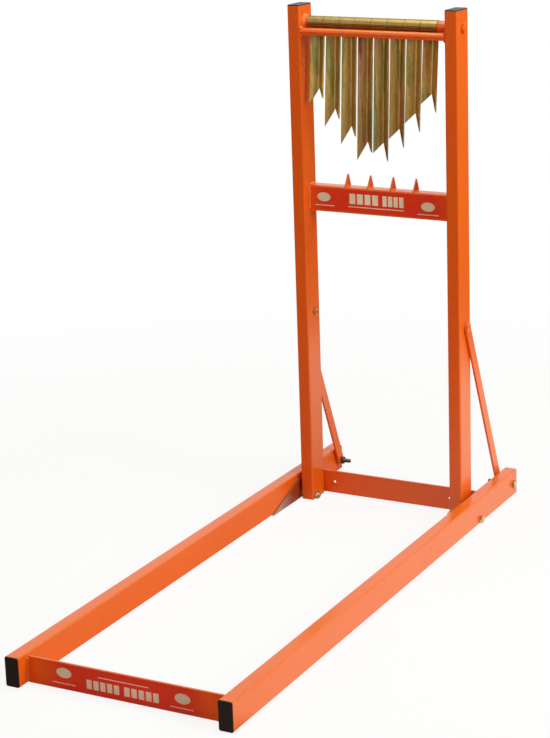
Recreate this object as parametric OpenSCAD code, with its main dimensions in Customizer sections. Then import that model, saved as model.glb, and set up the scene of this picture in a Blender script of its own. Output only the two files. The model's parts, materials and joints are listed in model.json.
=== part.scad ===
// Folding log sawhorse. A long floor frame of box tube carries an upright of two
// posts, which folds forward onto it. Two flat stays brace the posts from behind.
// Eight forked steel teeth swing from an axle at the top and bite down on the timber,
// which lies on a spiked cross tube, so that it is sawn without being held by hand.
// X runs across, Y from the front bar to the rear, Z up, all in millimetres.
// The origin lies on the ground in the middle of the floor frame.

/* [Box tube] */
// Narrow side of the box tube
tube_d = 25; // [22:0.5:28]
// Broad side of the box tube
tube_h = 50; // [46:0.5:56]
// Wall of the box tube
tube_wall = 2; // [1.5:0.1:2.5]
// Outer corner radius of the box tube
tube_r = 3; // [2.6:0.1:4]

/* [Floor frame] */
// Width over both rails
frame_w = 410; // [402:1:430]
// Length over the end caps of the rails
frame_l = 1125; // [1100:1:1180]
// Height of the two flat cross bars
bar_h = 45; // [38:1:46]
// Thickness of the two flat cross bars
bar_t = 4; // [3:0.5:6]
// Front face of the front bar, behind the front end of the frame
front_bar_in = 26; // [18:1:40]
// Lower edge of the rear bar above the ground
rear_bar_lift = 2.5; // [0:0.5:4]
// Room between the posts and the rear bar
rear_bar_gap = 1; // [0.9:0.1:3]
// Distance between the two fixing holes of the rear bar
fix_spacing = 248; // [200:1:280]
// Diameter of the fixing holes
fix_d = 6; // [5:0.5:8]

/* [Pivot plates] */
// Thickness of the plates inside the rails
plate_t = 3.5; // [3:0.1:5]
// Height of the plates
plate_h = 39; // [30:1:42]
// Reach of the plates in front of the posts
plate_reach = 107; // [80:1:130]
// Start of the level top edge, behind the front of the posts
plate_level = 3; // [0:1:10]

/* [Upright] */
// Front face of the posts, behind the front end of the frame
post_in = 930; // [900:1:940]
// Height of the upright over its caps
upright_h = 967; // [940:1:1010]
// Gap between the open lower ends of the posts and the ground
post_foot = 1; // [0.5:0.5:2]
// Fold pivot behind the front face of the posts
pivot_in = 13; // [12:0.5:16]
// Fold pivot above the ground
pivot_h = 8; // [7.5:0.5:10]
// Diameter of the stop bar in front of the teeth
stop_d = 14; // [12:0.5:14.5]
// Drop of the stop bar below the axle of the teeth
stop_drop = 15; // [14.5:0.5:20]

/* [Spiked cross tube] */
// Lower face of the cross tube below the top of the upright
cross_drop = 389.5; // [380:0.5:420]
// Front face of the cross tube behind the front of the posts
cross_in = 20.5; // [16:0.5:22]
// Distance between neighbouring spikes
spike_pitch = 47; // [40:0.5:56]
// Height of the spikes
spike_h = 23; // [16:0.5:26]
// Width of the foot of a spike
spike_base = 24; // [18:0.5:24]
// Point of a spike behind the front corner of its foot
spike_lean = 15; // [8:0.5:17]
// Thickness of the spikes
spike_t = 3.5; // [2:0.1:5]

/* [Stays] */
// Width of the flat stays
stay_w = 20; // [17:0.5:24]
// Thickness of the flat stays
stay_t = 4; // [3:0.1:5]
// Upper stay pivot behind the front of the posts
stay_top_in = 28; // [20:0.5:32]
// Upper stay pivot above the ground
stay_top_h = 378.5; // [350:0.5:410]
// Lower stay bolt in front of the rear end of the frame
stay_foot_in = 18; // [17.5:0.5:24]
// Lower stay bolt above the ground
stay_foot_h = 24; // [18:0.5:30]
// Degrees that a stay turns back on its pivot for each degree of fold
stay_turn = 0.231; // [0.2:0.001:0.26]

/* [Teeth] */
// Diameter of the axle that carries the teeth
axle_d = 19; // [18:0.5:20]
// Drop of the axle below the top of the upright
axle_drop = 34; // [28:0.5:40]
// Length of the short collar left of the first tooth
collar_left_l = 8.1; // [5:0.1:12]
// Length of the long collar right of the last tooth
collar_right_l = 20.9; // [16:0.1:28]
// Thickness of the plate that the teeth are rolled and bent from
tooth_t = 3; // [2.5:0.1:3.2]
// Rounded fold of a tooth behind the axle
tooth_back = 15; // [14:0.1:16]
// Inner radius of that fold
fold_r = 3; // [2:0.1:4]
// Axle to notch on the outer teeth
tooth_len_1 = 120; // [110:1:140]
// Axle to notch on the second teeth
tooth_len_2 = 157; // [145:1:170]
// Axle to notch on the third teeth
tooth_len_3 = 188; // [180:1:200]
// Axle to notch on the two middle teeth
tooth_len_4 = 216; // [205:1:230]
// Length of the inner point of the fork below its notch
fork_inner = 20; // [14:0.5:26]
// Length of the outer point of the fork below its notch
fork_outer = 35.5; // [28:0.5:40]
// Diameter of the spacing collars on the axle
collar_d = 24; // [22:0.5:26]

/* [Fasteners] */
// Diameter of the pivot and stay bolts
bolt_d = 8; // [7:0.5:8.5]
// Width across the flats of their heads and nuts
bolt_af = 13; // [12:0.5:14]
// Height of the hexagon heads
head_h = 5.3; // [4:0.1:6.5]
// Height of the nuts
nut_h = 6.5; // [5:0.1:8]
// Diameter of the domed heads at the top of the stays
dome_d = 18; // [16:0.5:20]
// Height of the straight rim of the domed heads
dome_rim = 1; // [0.6:0.1:1.4]
// Diameter of the bushes between the plates and the posts
bush_d = 14; // [12:0.5:15]
// Diameter of the washers and spacers at the stays
washer_d = 18; // [16:0.5:20]
// Thickness of the washers at the top of the stays
washer_t = 1.1; // [0.8:0.1:1.6]
// Length of bare thread behind the lower stay nuts
tail_l = 13; // [4:1:18]
// Length of thread that shows behind the other nuts
thread_l = 2.3; // [1:0.1:4]
// Diameter of the axle bolts
axle_bolt_d = 10; // [8:0.5:12]
// Width across the flats of the axle bolts
axle_bolt_af = 17; // [15:0.5:18]
// Height of the heads of the axle bolts
axle_head_h = 6.4; // [5:0.1:8]
// Depth of the axle bolts in the ends of the axle
axle_bolt_in = 16; // [10:1:24]

/* [Plastic caps] */
// Thickness of the cap flange
cap_t = 2; // [1.5:0.1:2.5]
// Depth of the cap plug inside the tube
cap_plug = 10; // [8:0.5:10]
// Wall of the hollow cap plug
cap_wall = 1.6; // [1.2:0.1:2.2]
// Number of gripping ribs round the plug
cap_ribs = 3; // [2:1:4]
// Thickness of one gripping rib
rib_t = 1.2; // [0.8:0.1:1.5]

/* [Fits] */
// Radial clearance of the bolts that pieces turn on
pivot_fit = 0.08; // [0.05:0.01:0.1]
// Radial clearance of the tooth eyes on their axle
eye_fit = 0.08; // [0.05:0.01:0.1]
// Radial clearance of the bolts in fixed holes
hole_fit = 0.1; // [0.06:0.01:0.2]
// Side clearance where a flat face turns on another
turn_gap = 0.1; // [0.05:0.01:0.2]
// Side clearance between the stays and the pivot plates
stay_run = 0.3; // [0.2:0.05:0.5]
// Side clearance beside the pivot bushes and under the clamping nuts
nut_gap = 0.2; // [0.1:0.05:0.3]
// Clearance of the lower stay bolt in its open slot
slot_fit = 0.5; // [0.4:0.05:0.8]
// Clearance between the domed heads and the rails when folded
rail_clear = 0.5; // [0.3:0.05:0.8]
// Gap between neighbouring tooth eyes
eye_gap = 0.6; // [0.4:0.05:0.9]
// Gap between the blades of neighbouring teeth
blade_gap = 1.6; // [1.2:0.1:2.5]
// Opening of the seam where the rolled eye of a tooth ends
seam_gap = 1; // [0.5:0.1:1.6]
// Clearance of the cap ribs in the tube
rib_fit = 0.1; // [0.05:0.01:0.2]
// Depth of the grooves between the cap ribs
rib_depth = 0.6; // [0.4:0.05:0.8]

/* [Hidden] */
$fn = 64;
// Cutting tools run this far past the faces that they cut
over = 1;
// Rings in the curve of a domed head
dome_steps = 6;
// Flats in the fold of a blade
fold_steps = 5;
// Ends of the frame, and the faces of the rails on the right-hand side
y_front = -frame_l / 2;
y_rear = frame_l / 2;
rail_out = frame_w / 2;
rail_in = rail_out - tube_d;
// Side stack from the rail to the post: plate, gap, stay, gap and washer
plate_in = rail_in - plate_t;
stay_out = plate_in - stay_run;
stay_in = stay_out - stay_t;
post_out = stay_in - turn_gap - washer_t;
post_inner = post_out - tube_d;
// Fore and aft places of the upright
post_y = y_front + post_in;
post_back = post_y + tube_h;
post_mid = post_y + tube_h / 2;
rear_bar_y = post_back + rear_bar_gap;
pivot_y = post_y + pivot_in;
// Centres of the stay pivots in the side view
stay_top = [post_y + stay_top_in, stay_top_h];
stay_foot = [y_rear - stay_foot_in, stay_foot_h];
stay_run_v = stay_foot - stay_top;
stay_len = norm(stay_run_v);
stay_angle = atan2(stay_run_v[1], stay_run_v[0]);
// Way of the lower bolt out of its slot when the fold begins: the stay's pivot goes
// round the fold pivot, and the stay itself turns with the rest of the fold
top_arm = stay_top - [pivot_y, pivot_h];
turn_rest = 1 - stay_turn;
slot_v = [
    top_arm[1] + turn_rest * stay_run_v[1],
    -top_arm[0] - turn_rest * stay_run_v[0]
];
slot_angle = atan2(slot_v[1], slot_v[0]);
slot_d = bolt_d + 2 * slot_fit;
// Places in the upright
axle_z = upright_h - axle_drop;
stop_y = post_y + stop_d / 2;
stop_z = axle_z - stop_drop;
cross_y = post_y + cross_in;
cross_z = upright_h - cross_drop;
cross_top = cross_z + tube_h;
spike_y = cross_y + (tube_d - spike_base) / 2;
dome_in = stay_out + turn_gap;
dome_h = rail_in - rail_clear - dome_in;
// Outline of a tooth: the blade is a right angle with a rounded fold, seen from above
teeth_n = 8;
teeth_x = -post_inner + collar_left_l;
tooth_pitch = (2 * post_inner - collar_left_l - collar_right_l) / teeth_n;
eye_bore = axle_d + 2 * eye_fit;
eye_d = eye_bore + 2 * tooth_t;
eye_w = tooth_pitch - eye_gap;
blade_half = (tooth_pitch - blade_gap) / 2;
fold_out = fold_r + tooth_t;
fold_y = tooth_back - fold_out;
leg_l = blade_half * sqrt(2) - fold_out;
blade_depth = fold_out + (leg_l - fold_r) / sqrt(2);
tooth_lens = [tooth_len_1, tooth_len_2, tooth_len_3, tooth_len_4];
// Sheet colours
paint = [0.90, 0.36, 0.12];
zinc = [0.62, 0.56, 0.30];
bright = [0.80, 0.74, 0.58];
black = [0.13, 0.12, 0.12];

// Rectangle w by h about its middle, with corners of radius r
module round_rect(w, h, r) {
    square([w - 2 * r, h], center = true);
    square([w, h - 2 * r], center = true);
    for (x = [-1, 1], y = [-1, 1])
        translate([x * (w / 2 - r), y * (h / 2 - r)]) circle(r = r);
}

// Box tube of the given length along +Z, broad side along Y
module box_tube(length) {
    difference() {
        linear_extrude(length) round_rect(tube_d, tube_h, tube_r);
        translate([0, 0, -over]) linear_extrude(length + 2 * over)
            round_rect(
                tube_d - 2 * tube_wall, tube_h - 2 * tube_wall, tube_r - tube_wall);
    }
}

// Round bar along X from x0 to x1, at y and z
module x_rod(d, x0, x1, y = 0, z = 0) {
    translate([x0, y, z]) rotate([0, 90, 0]) cylinder(d = d, h = x1 - x0);
}

// Plate that stands in the side view: the outline's x lies along Y, its y along Z
module side_plate(x0, t) {
    translate([x0, 0, 0]) rotate([90, 0, 90]) linear_extrude(t) children();
}

// The children and their mirror image on the left-hand side
module both_sides() {
    children();
    mirror([1, 0, 0]) children();
}

// Hexagon with chamfered corners on its outer end, along +X from x = 0
module hex_head(af, h) {
    intersection() {
        rotate([0, 90, 0]) cylinder(d = af / cos(30), h = h, $fn = 6);
        rotate([0, 90, 0]) cylinder(d1 = af * 1.35, d2 = af * 0.96, h = h);
    }
}

// Nut with its seat at x, growing towards -X, on a bolt of diameter d
module nut(x, y, z, af, d, h) {
    translate([x, y, z]) difference() {
        mirror([1, 0, 0]) hex_head(af, h);
        x_rod(d + 2 * hole_fit, -h - over, over);
    }
}

// Ring along X from x0 to x1
module ring(d, bore, x0, x1, y, z) {
    difference() {
        x_rod(d, x0, x1, y, z);
        x_rod(bore, x0 - over, x1 + over, y, z);
    }
}

// Plastic cap: flange on top from z = 0 up, hollow ribbed plug below
module cap() {
    plug_w = tube_d - 2 * tube_wall - 2 * rib_fit;
    plug_h = tube_h - 2 * tube_wall - 2 * rib_fit;
    core_w = plug_w - 2 * rib_depth;
    core_h = plug_h - 2 * rib_depth;
    rib_step = (cap_plug - rib_t) / cap_ribs;
    edge = cap_t / 3;
    color(black) {
        linear_extrude(cap_t - edge) round_rect(tube_d, tube_h, tube_r);
        translate([0, 0, cap_t - edge]) linear_extrude(edge)
            round_rect(tube_d - 2 * edge, tube_h - 2 * edge, tube_r - edge);
        difference() {
            union() {
                translate([0, 0, -cap_plug]) linear_extrude(cap_plug)
                    round_rect(core_w, core_h, rib_t / 2);
                for (i = [1:cap_ribs])
                    translate([0, 0, -i * rib_step]) linear_extrude(rib_t)
                        round_rect(plug_w, plug_h, max(tube_r - tube_wall, rib_t / 2));
            }
            translate([0, 0, -cap_plug - over]) linear_extrude(cap_plug + over)
                square([core_w - 2 * cap_wall, core_h - 2 * cap_wall], center = true);
        }
    }
}

// Right-hand rail, with the holes of the fold pivot and of the lower stay bolt
module rail() {
    color(paint) difference() {
        translate([rail_out - tube_d / 2, y_rear - cap_t, tube_h / 2])
            rotate([90, 0, 0]) box_tube(frame_l - 2 * cap_t);
        x_rod(bolt_d + 2 * hole_fit, rail_in - over, rail_out + over, pivot_y, pivot_h);
        x_rod(
            bolt_d + 2 * hole_fit, rail_in - over, rail_out + over,
            stay_foot[0], stay_foot[1]);
    }
}

module rail_left() { mirror([1, 0, 0]) rail(); }
module rail_right() { rail(); }

module front_bar() {
    color(paint) translate([-rail_in, y_front + front_bar_in, 0])
        cube([2 * rail_in, bar_t, bar_h]);
}

module rear_bar() {
    color(paint) difference() {
        translate([-rail_in, rear_bar_y, rear_bar_lift])
            cube([2 * rail_in, bar_t, bar_h]);
        for (s = [-1, 1])
            translate([s * fix_spacing / 2, rear_bar_y - over, rear_bar_lift + bar_h / 2])
                rotate([-90, 0, 0]) cylinder(d = fix_d, h = bar_t + 2 * over);
    }
}

// Plate welded inside the rail: it rises from a point in front of the posts
module pivot_plate() {
    color(paint) difference() {
        side_plate(plate_in, plate_t) polygon([
            [post_y - plate_reach, 0],
            [rear_bar_y, 0],
            [rear_bar_y, plate_h],
            [post_y + plate_level, plate_h]
        ]);
        x_rod(bolt_d + 2 * hole_fit, plate_in - over, rail_in + over, pivot_y, pivot_h);
    }
}

module pivot_plate_left() { mirror([1, 0, 0]) pivot_plate(); }
module pivot_plate_right() { pivot_plate(); }

module front_cap() {
    translate([rail_out - tube_d / 2, y_front + cap_t, tube_h / 2])
        rotate([90, 0, 0]) cap();
}

module rear_cap() {
    translate([rail_out - tube_d / 2, y_rear - cap_t, tube_h / 2])
        rotate([-90, 0, 0]) cap();
}

module rail_cap_front_left() { mirror([1, 0, 0]) front_cap(); }
module rail_cap_front_right() { front_cap(); }
module rail_cap_rear_left() { mirror([1, 0, 0]) rear_cap(); }
module rail_cap_rear_right() { rear_cap(); }

// Fold pivots: a bolt on each side through rail, plate, bush, post and nut
module pivot_bolts() {
    color(bright) both_sides() translate([0, pivot_y, pivot_h]) {
        x_rod(bolt_d, post_inner - nut_gap - nut_h - thread_l, rail_out + head_h / 2);
        translate([rail_out, 0, 0]) hex_head(bolt_af, head_h);
    }
}

module pivot_nuts() {
    color(bright) both_sides()
        nut(post_inner - nut_gap, pivot_y, pivot_h, bolt_af, bolt_d, nut_h);
}

module pivot_bushes() {
    color(bright) both_sides()
        ring(
            bush_d, bolt_d + 2 * hole_fit, post_out + nut_gap, plate_in,
            pivot_y, pivot_h);
}

// Lower stay bolts: the stay hooks over them with its open slot
module stay_foot_bolts() {
    color(bright) both_sides() translate([0, stay_foot[0], stay_foot[1]]) {
        x_rod(bolt_d, stay_in - nut_gap - nut_h - tail_l, rail_out + head_h / 2);
        translate([rail_out, 0, 0]) hex_head(bolt_af, head_h);
    }
}

module stay_foot_nuts() {
    color(bright) both_sides()
        nut(stay_in - nut_gap, stay_foot[0], stay_foot[1], bolt_af, bolt_d, nut_h);
}

module stay_foot_spacers() {
    color(bright) both_sides()
        ring(
            washer_d, bolt_d + 2 * hole_fit, plate_in, rail_in,
            stay_foot[0], stay_foot[1]);
}

// Right-hand post: a tube, open below, bored for its three bolts
module post() {
    color(paint) difference() {
        translate([post_out - tube_d / 2, post_mid, post_foot])
            box_tube(upright_h - cap_t - post_foot);
        x_rod(
            bolt_d + 2 * pivot_fit, post_inner - over, post_out + over,
            pivot_y, pivot_h);
        x_rod(
            bolt_d + 2 * hole_fit, post_inner - over, post_out + over,
            stay_top[0], stay_top[1]);
        x_rod(
            axle_bolt_d + 2 * hole_fit, post_inner - over, post_out + over,
            post_mid, axle_z);
    }
}

module post_left() { mirror([1, 0, 0]) post(); }
module post_right() { post(); }

module post_cap() {
    translate([post_out - tube_d / 2, post_mid, upright_h - cap_t]) cap();
}

module post_cap_left() { mirror([1, 0, 0]) post_cap(); }
module post_cap_right() { post_cap(); }

// Box tube across the posts that the timber lies on
module cross_tube() {
    color(paint) translate([-post_inner, cross_y + tube_d / 2, cross_z + tube_h / 2])
        rotate([90, 0, 90]) box_tube(2 * post_inner);
}

// Pointed fins that stand on the cross tube and bite into the timber from below
module cross_spikes() {
    color(paint) for (i = [-1.5:1:1.5])
        side_plate(i * spike_pitch - spike_t / 2, spike_t) polygon([
            [spike_y, cross_top],
            [spike_y + spike_base, cross_top],
            [spike_y + spike_lean, cross_top + spike_h]
        ]);
}

// Bar that stops the teeth from swinging forward
module stop_bar() {
    color(paint) x_rod(stop_d, -post_inner, post_inner, stop_y, stop_z);
}

module tooth_axle() {
    color(paint) difference() {
        x_rod(axle_d, -post_inner, post_inner, post_mid, axle_z);
        both_sides() x_rod(
            axle_bolt_d + 2 * hole_fit, post_inner - axle_bolt_in - over,
            post_inner + over, post_mid, axle_z);
    }
}

module axle_collar_left() {
    color(paint) ring(
        collar_d, axle_d + 2 * hole_fit, -post_inner, teeth_x, post_mid, axle_z);
}

module axle_collar_right() {
    color(paint) ring(
        collar_d, axle_d + 2 * hole_fit, post_inner - collar_right_l, post_inner,
        post_mid, axle_z);
}

module axle_bolts() {
    color(bright) both_sides() translate([0, post_mid, axle_z]) {
        x_rod(axle_bolt_d, post_inner - axle_bolt_in, post_out + axle_head_h / 2);
        translate([post_out, 0, 0]) hex_head(axle_bolt_af, axle_head_h);
    }
}

// Upper stay bolts: a low domed head outside the stay, a nut inside the post
module stay_top_bolts() {
    rise = dome_h - dome_rim;
    dome_r = (dome_d * dome_d / 4 + rise * rise) / (2 * rise);
    dome_turn = asin(dome_d / 2 / dome_r);
    color(bright) both_sides() translate([0, stay_top[0], stay_top[1]]) {
        x_rod(bolt_d, post_inner - nut_h - thread_l, dome_in + dome_rim / 2);
        translate([dome_in, 0, 0]) rotate([0, 90, 0]) rotate_extrude()
            polygon([
                [0, 0],
                [dome_d / 2, 0],
                for (i = [0:dome_steps])
                    [
                        dome_r * sin(dome_turn * (1 - i / dome_steps)),
                        dome_h - dome_r
                            + dome_r * cos(dome_turn * (1 - i / dome_steps))
                    ]
            ]);
    }
}

module stay_top_nuts() {
    color(bright) both_sides()
        nut(post_inner, stay_top[0], stay_top[1], bolt_af, bolt_d, nut_h);
}

module stay_top_washers() {
    color(bright) both_sides()
        ring(
            washer_d, bolt_d + 2 * hole_fit, post_out, stay_in - turn_gap,
            stay_top[0], stay_top[1]);
}

// Flat stay with round ends: a bore above, an open slot below
module stay() {
    color(paint) side_plate(stay_in, stay_t) difference() {
        union() {
            translate(stay_top) rotate(stay_angle) {
                circle(d = stay_w);
                translate([0, -stay_w / 2]) square([stay_len, stay_w]);
            }
            translate(stay_foot) circle(d = stay_w);
        }
        translate(stay_top) circle(d = bolt_d + 2 * pivot_fit);
        translate(stay_foot) {
            circle(d = slot_d);
            rotate(slot_angle) translate([0, -slot_d / 2]) square([stay_w, slot_d]);
        }
    }
}

module stay_left() { mirror([1, 0, 0]) stay(); }
module stay_right() { stay(); }

// Section of a blade: two legs at a right angle, and a fold in short flats
module blade_section() {
    turns = [for (i = [0:fold_steps]) 45 + 90 * i / fold_steps];
    leg = [leg_l, -leg_l] / sqrt(2);
    edge = [1, 1] / sqrt(2);
    flip = [[-1, 0], [0, 1]];
    centre = [0, fold_y];
    polygon([
        centre + fold_r * edge + leg,
        centre + fold_out * edge + leg,
        for (t = turns) centre + fold_out * [cos(t), sin(t)],
        centre + flip * (fold_out * edge + leg),
        centre + flip * (fold_r * edge + leg),
        for (i = [0:fold_steps])
            centre + fold_r * [cos(turns[fold_steps - i]), sin(turns[fold_steps - i])]
    ]);
}

// Fork that ends a blade, seen from the front: a notch between two points, of which
// the one on the given side is the longer
module fork_outline(side, length) {
    polygon([
        [-side * blade_half, 0],
        [-side * blade_half, -length - fork_inner],
        [0, -length],
        [side * blade_half, -length - fork_outer],
        [side * blade_half, 0]
    ]);
}

// How far a tooth leans forward at rest: its blade lies behind the axle, and the
// middle of the blade hangs straight below it
function hang_angle(length) = atan(
    2 * (tooth_back - blade_depth / 2) / (length + (fork_inner + fork_outer) / 4));

// Tooth number n from the left. The plate is rolled into an eye round the axle and
// bent into a right angle below it, with the fold at the back. The longer point of
// its fork is the one away from the middle of the row.
module tooth(n) {
    side = n <= teeth_n / 2 ? -1 : 1;
    length = tooth_lens[side < 0 ? n - 1 : teeth_n - n];
    tip = length + fork_outer;
    color(zinc) translate([teeth_x + (n - 0.5) * tooth_pitch, post_mid, axle_z])
        rotate([-hang_angle(length), 0, 0]) difference() {
            union() {
                x_rod(eye_d, -eye_w / 2, eye_w / 2);
                intersection() {
                    translate([0, 0, -tip]) linear_extrude(tip) blade_section();
                    translate([0, eye_d, 0]) rotate([90, 0, 0])
                        linear_extrude(2 * eye_d) fork_outline(side, length);
                }
            }
            x_rod(eye_bore, -eye_w / 2 - over, eye_w / 2 + over);
            translate([-eye_w / 2 - over, -eye_d, -seam_gap])
                cube([eye_w + 2 * over, eye_d, seam_gap]);
        }
}

module tooth_1() { tooth(1); }
module tooth_2() { tooth(2); }
module tooth_3() { tooth(3); }
module tooth_4() { tooth(4); }
module tooth_5() { tooth(5); }
module tooth_6() { tooth(6); }
module tooth_7() { tooth(7); }
module tooth_8() { tooth(8); }

rail_left();
rail_right();
front_bar();
rear_bar();
pivot_plate_left();
pivot_plate_right();
rail_cap_front_left();
rail_cap_front_right();
rail_cap_rear_left();
rail_cap_rear_right();
pivot_bolts();
pivot_nuts();
pivot_bushes();
stay_foot_bolts();
stay_foot_nuts();
stay_foot_spacers();
post_left();
post_right();
post_cap_left();
post_cap_right();
cross_tube();
cross_spikes();
stop_bar();
tooth_axle();
axle_collar_left();
axle_collar_right();
axle_bolts();
stay_top_bolts();
stay_top_nuts();
stay_top_washers();
stay_left();
stay_right();
tooth_1();
tooth_2();
tooth_3();
tooth_4();
tooth_5();
tooth_6();
tooth_7();
tooth_8();
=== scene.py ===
"""Looks of a folding sawhorse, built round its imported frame.

Every length is in metres, in the frame of the model: X across, Y to the rear, Z up.
"""

from __future__ import annotations

import json
import logging
import math
from dataclasses import dataclass, field
from enum import Enum

import bmesh
import bpy
import numpy as np
from mathutils import Matrix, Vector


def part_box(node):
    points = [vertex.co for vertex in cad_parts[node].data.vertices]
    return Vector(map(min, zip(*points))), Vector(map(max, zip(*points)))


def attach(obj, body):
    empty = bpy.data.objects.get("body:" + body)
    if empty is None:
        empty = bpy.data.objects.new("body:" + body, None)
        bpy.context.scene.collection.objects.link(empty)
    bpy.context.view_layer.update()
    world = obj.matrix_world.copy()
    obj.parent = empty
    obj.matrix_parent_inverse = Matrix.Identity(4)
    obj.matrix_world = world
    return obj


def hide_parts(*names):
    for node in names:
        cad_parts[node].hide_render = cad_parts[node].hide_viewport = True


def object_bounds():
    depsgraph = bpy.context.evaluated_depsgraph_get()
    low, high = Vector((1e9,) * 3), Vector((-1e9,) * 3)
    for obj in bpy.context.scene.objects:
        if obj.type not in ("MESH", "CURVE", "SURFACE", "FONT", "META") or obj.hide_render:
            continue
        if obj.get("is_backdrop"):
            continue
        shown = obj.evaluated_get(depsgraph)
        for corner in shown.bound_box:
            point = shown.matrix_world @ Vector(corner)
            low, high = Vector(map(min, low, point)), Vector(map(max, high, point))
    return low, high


LOG = logging.getLogger("sawhorse")
MM = 0.001
DIAGONAL = math.sqrt(2)

Pair = tuple[float, float]
Triple = tuple[float, float, float]
Colour = Triple
Socket = bpy.types.NodeSocket


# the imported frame, and its box before anything is added


def corners() -> list[list[float]]:
    """Lowest and highest corner of what is shown, as plain lists."""
    return [[float(value) for value in corner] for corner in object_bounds()]


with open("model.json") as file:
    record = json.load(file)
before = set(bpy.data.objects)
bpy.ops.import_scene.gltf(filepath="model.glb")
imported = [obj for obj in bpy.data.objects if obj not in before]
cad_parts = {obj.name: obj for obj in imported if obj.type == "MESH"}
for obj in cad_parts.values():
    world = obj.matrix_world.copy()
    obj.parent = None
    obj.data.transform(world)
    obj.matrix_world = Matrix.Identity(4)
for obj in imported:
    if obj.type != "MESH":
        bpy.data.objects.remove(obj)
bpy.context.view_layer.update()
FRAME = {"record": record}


def to_micrometre(length: float) -> float:
    """A length in metres, rounded."""
    return round(length, 6)


def extent(node: str) -> list[Pair]:
    """Lowest and highest X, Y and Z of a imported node.

    Args:
        node: name of the node.

    Returns:
        Three pairs, to the micrometre.
    """
    return [(to_micrometre(low), to_micrometre(high)) for low, high in zip(*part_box(node))]


def centre_line(node: str) -> Pair:
    """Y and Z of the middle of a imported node, to the micrometre."""
    _, (front, rear), (bottom, top) = extent(node)
    return to_micrometre((front + rear) / 2), to_micrometre((bottom + top) / 2)


# centre lines along X that several classes share: their Y and Z
FOLD_AXIS = centre_line("pivot_bolts")
STAY_FOOT = centre_line("stay_foot_bolts")
STAY_TOP = centre_line("stay_top_bolts")
AXLE = centre_line("axle_bolts")
STOP = centre_line("stop_bar")

# inner faces of the rails and of the posts, from the middle plane
RAIL_INNER = extent("rail_right")[0][0]
POST_INNER = extent("post_right")[0][0]

# the row of teeth fills the axle between its collars
TEETH = 8
ROW_START = extent("axle_collar_left")[0][1]
ROW_END = extent("axle_collar_right")[0][0]
ROW_PITCH = (ROW_END - ROW_START) / TEETH

STOP_DIAMETER = 14 * MM
COLLAR_DIAMETER = 24 * MM

# points round a turned piece, and round a hexagon
TURNED_STEPS = 56
HEX_STEPS = 48

# points closer than this are one
MERGE = 1e-6

# edges that turn by more than this many degrees look sharp
SHARP_DEG = 32.0
SHARP_FILM_DEG = 20.0
SHARP_BEAD_DEG = 60.0

ORANGE: Colour = (0.87, 0.138, 0.0070)
ZINC: Colour = (0.80, 0.56, 0.34)
WHITE: Colour = (1.0, 1.0, 1.0)


class Body(Enum):
    """The two frames that most pieces ride on."""

    BASE = "base"
    UPRIGHT = "upright"


class Slot(Enum):
    """The record's material slots."""

    PAINT = "orange_paint"
    TEETH = "yellow_zinc"
    FASTENERS = "zinc_fasteners"
    PLASTIC = "black_plastic"


# surfaces worked out as arrays


def unit(v: np.ndarray) -> np.ndarray:
    """Vectors along the last axis, each divided by its length."""
    return v / np.linalg.norm(v, axis=-1, keepdims=True)


@dataclass
class Patch:
    """A surface on a grid of points, rows by columns.

    Attributes:
        points: array of shape (rows, columns, 3).
        wrap_rows: the last row joins the first.
        wrap_columns: the last column joins the first.
    """

    points: np.ndarray
    wrap_rows: bool = False
    wrap_columns: bool = False

    def quads(self) -> np.ndarray:
        """Corner numbers of the grid's cells: cell (i, j) joins (i, j), (i, j+1),
        (i+1, j+1) and (i+1, j), with rows and columns taken round where they wrap.

        Returns:
            An array of shape (cells, 4).
        """
        rows, columns = self.points.shape[:2]
        i = np.arange(rows if self.wrap_rows else rows - 1)[:, None]
        j = np.arange(columns if self.wrap_columns else columns - 1)[None, :]
        i1, j1 = (i + 1) % rows, (j + 1) % columns
        corners = [i * columns + j, i * columns + j1, i1 * columns + j1, i1 * columns + j]
        return np.stack([np.broadcast_to(c, (i.size, j.size)) for c in corners], -1).reshape(-1, 4)


def make_piece(name: str, patches: list[Patch], sharp_deg: float = SHARP_DEG) -> bpy.types.Object:
    """Puts patches into one closed mesh whose faces point outwards.

    Args:
        name: name of the new object.
        patches: the surfaces; points that coincide are merged.
        sharp_deg: edges that turn by more than this stay sharp.

    Returns:
        The new object, linked to the scene.
    """
    starts = np.cumsum([0] + [p.points.shape[0] * p.points.shape[1] for p in patches])
    points = np.concatenate([p.points.reshape(-1, 3) for p in patches])
    quads = np.concatenate([p.quads() + s for p, s in zip(patches, starts)])
    mesh = bpy.data.meshes.new(name)
    mesh.vertices.add(len(points))
    mesh.vertices.foreach_set("co", points.astype(np.float32).ravel())
    mesh.loops.add(quads.size)
    mesh.loops.foreach_set("vertex_index", quads.astype(np.int32).ravel())
    mesh.polygons.add(len(quads))
    mesh.polygons.foreach_set("loop_start", np.arange(0, quads.size, 4, dtype=np.int32))
    mesh.update(calc_edges=True)
    return finish_mesh(name, mesh, sharp_deg)


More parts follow.
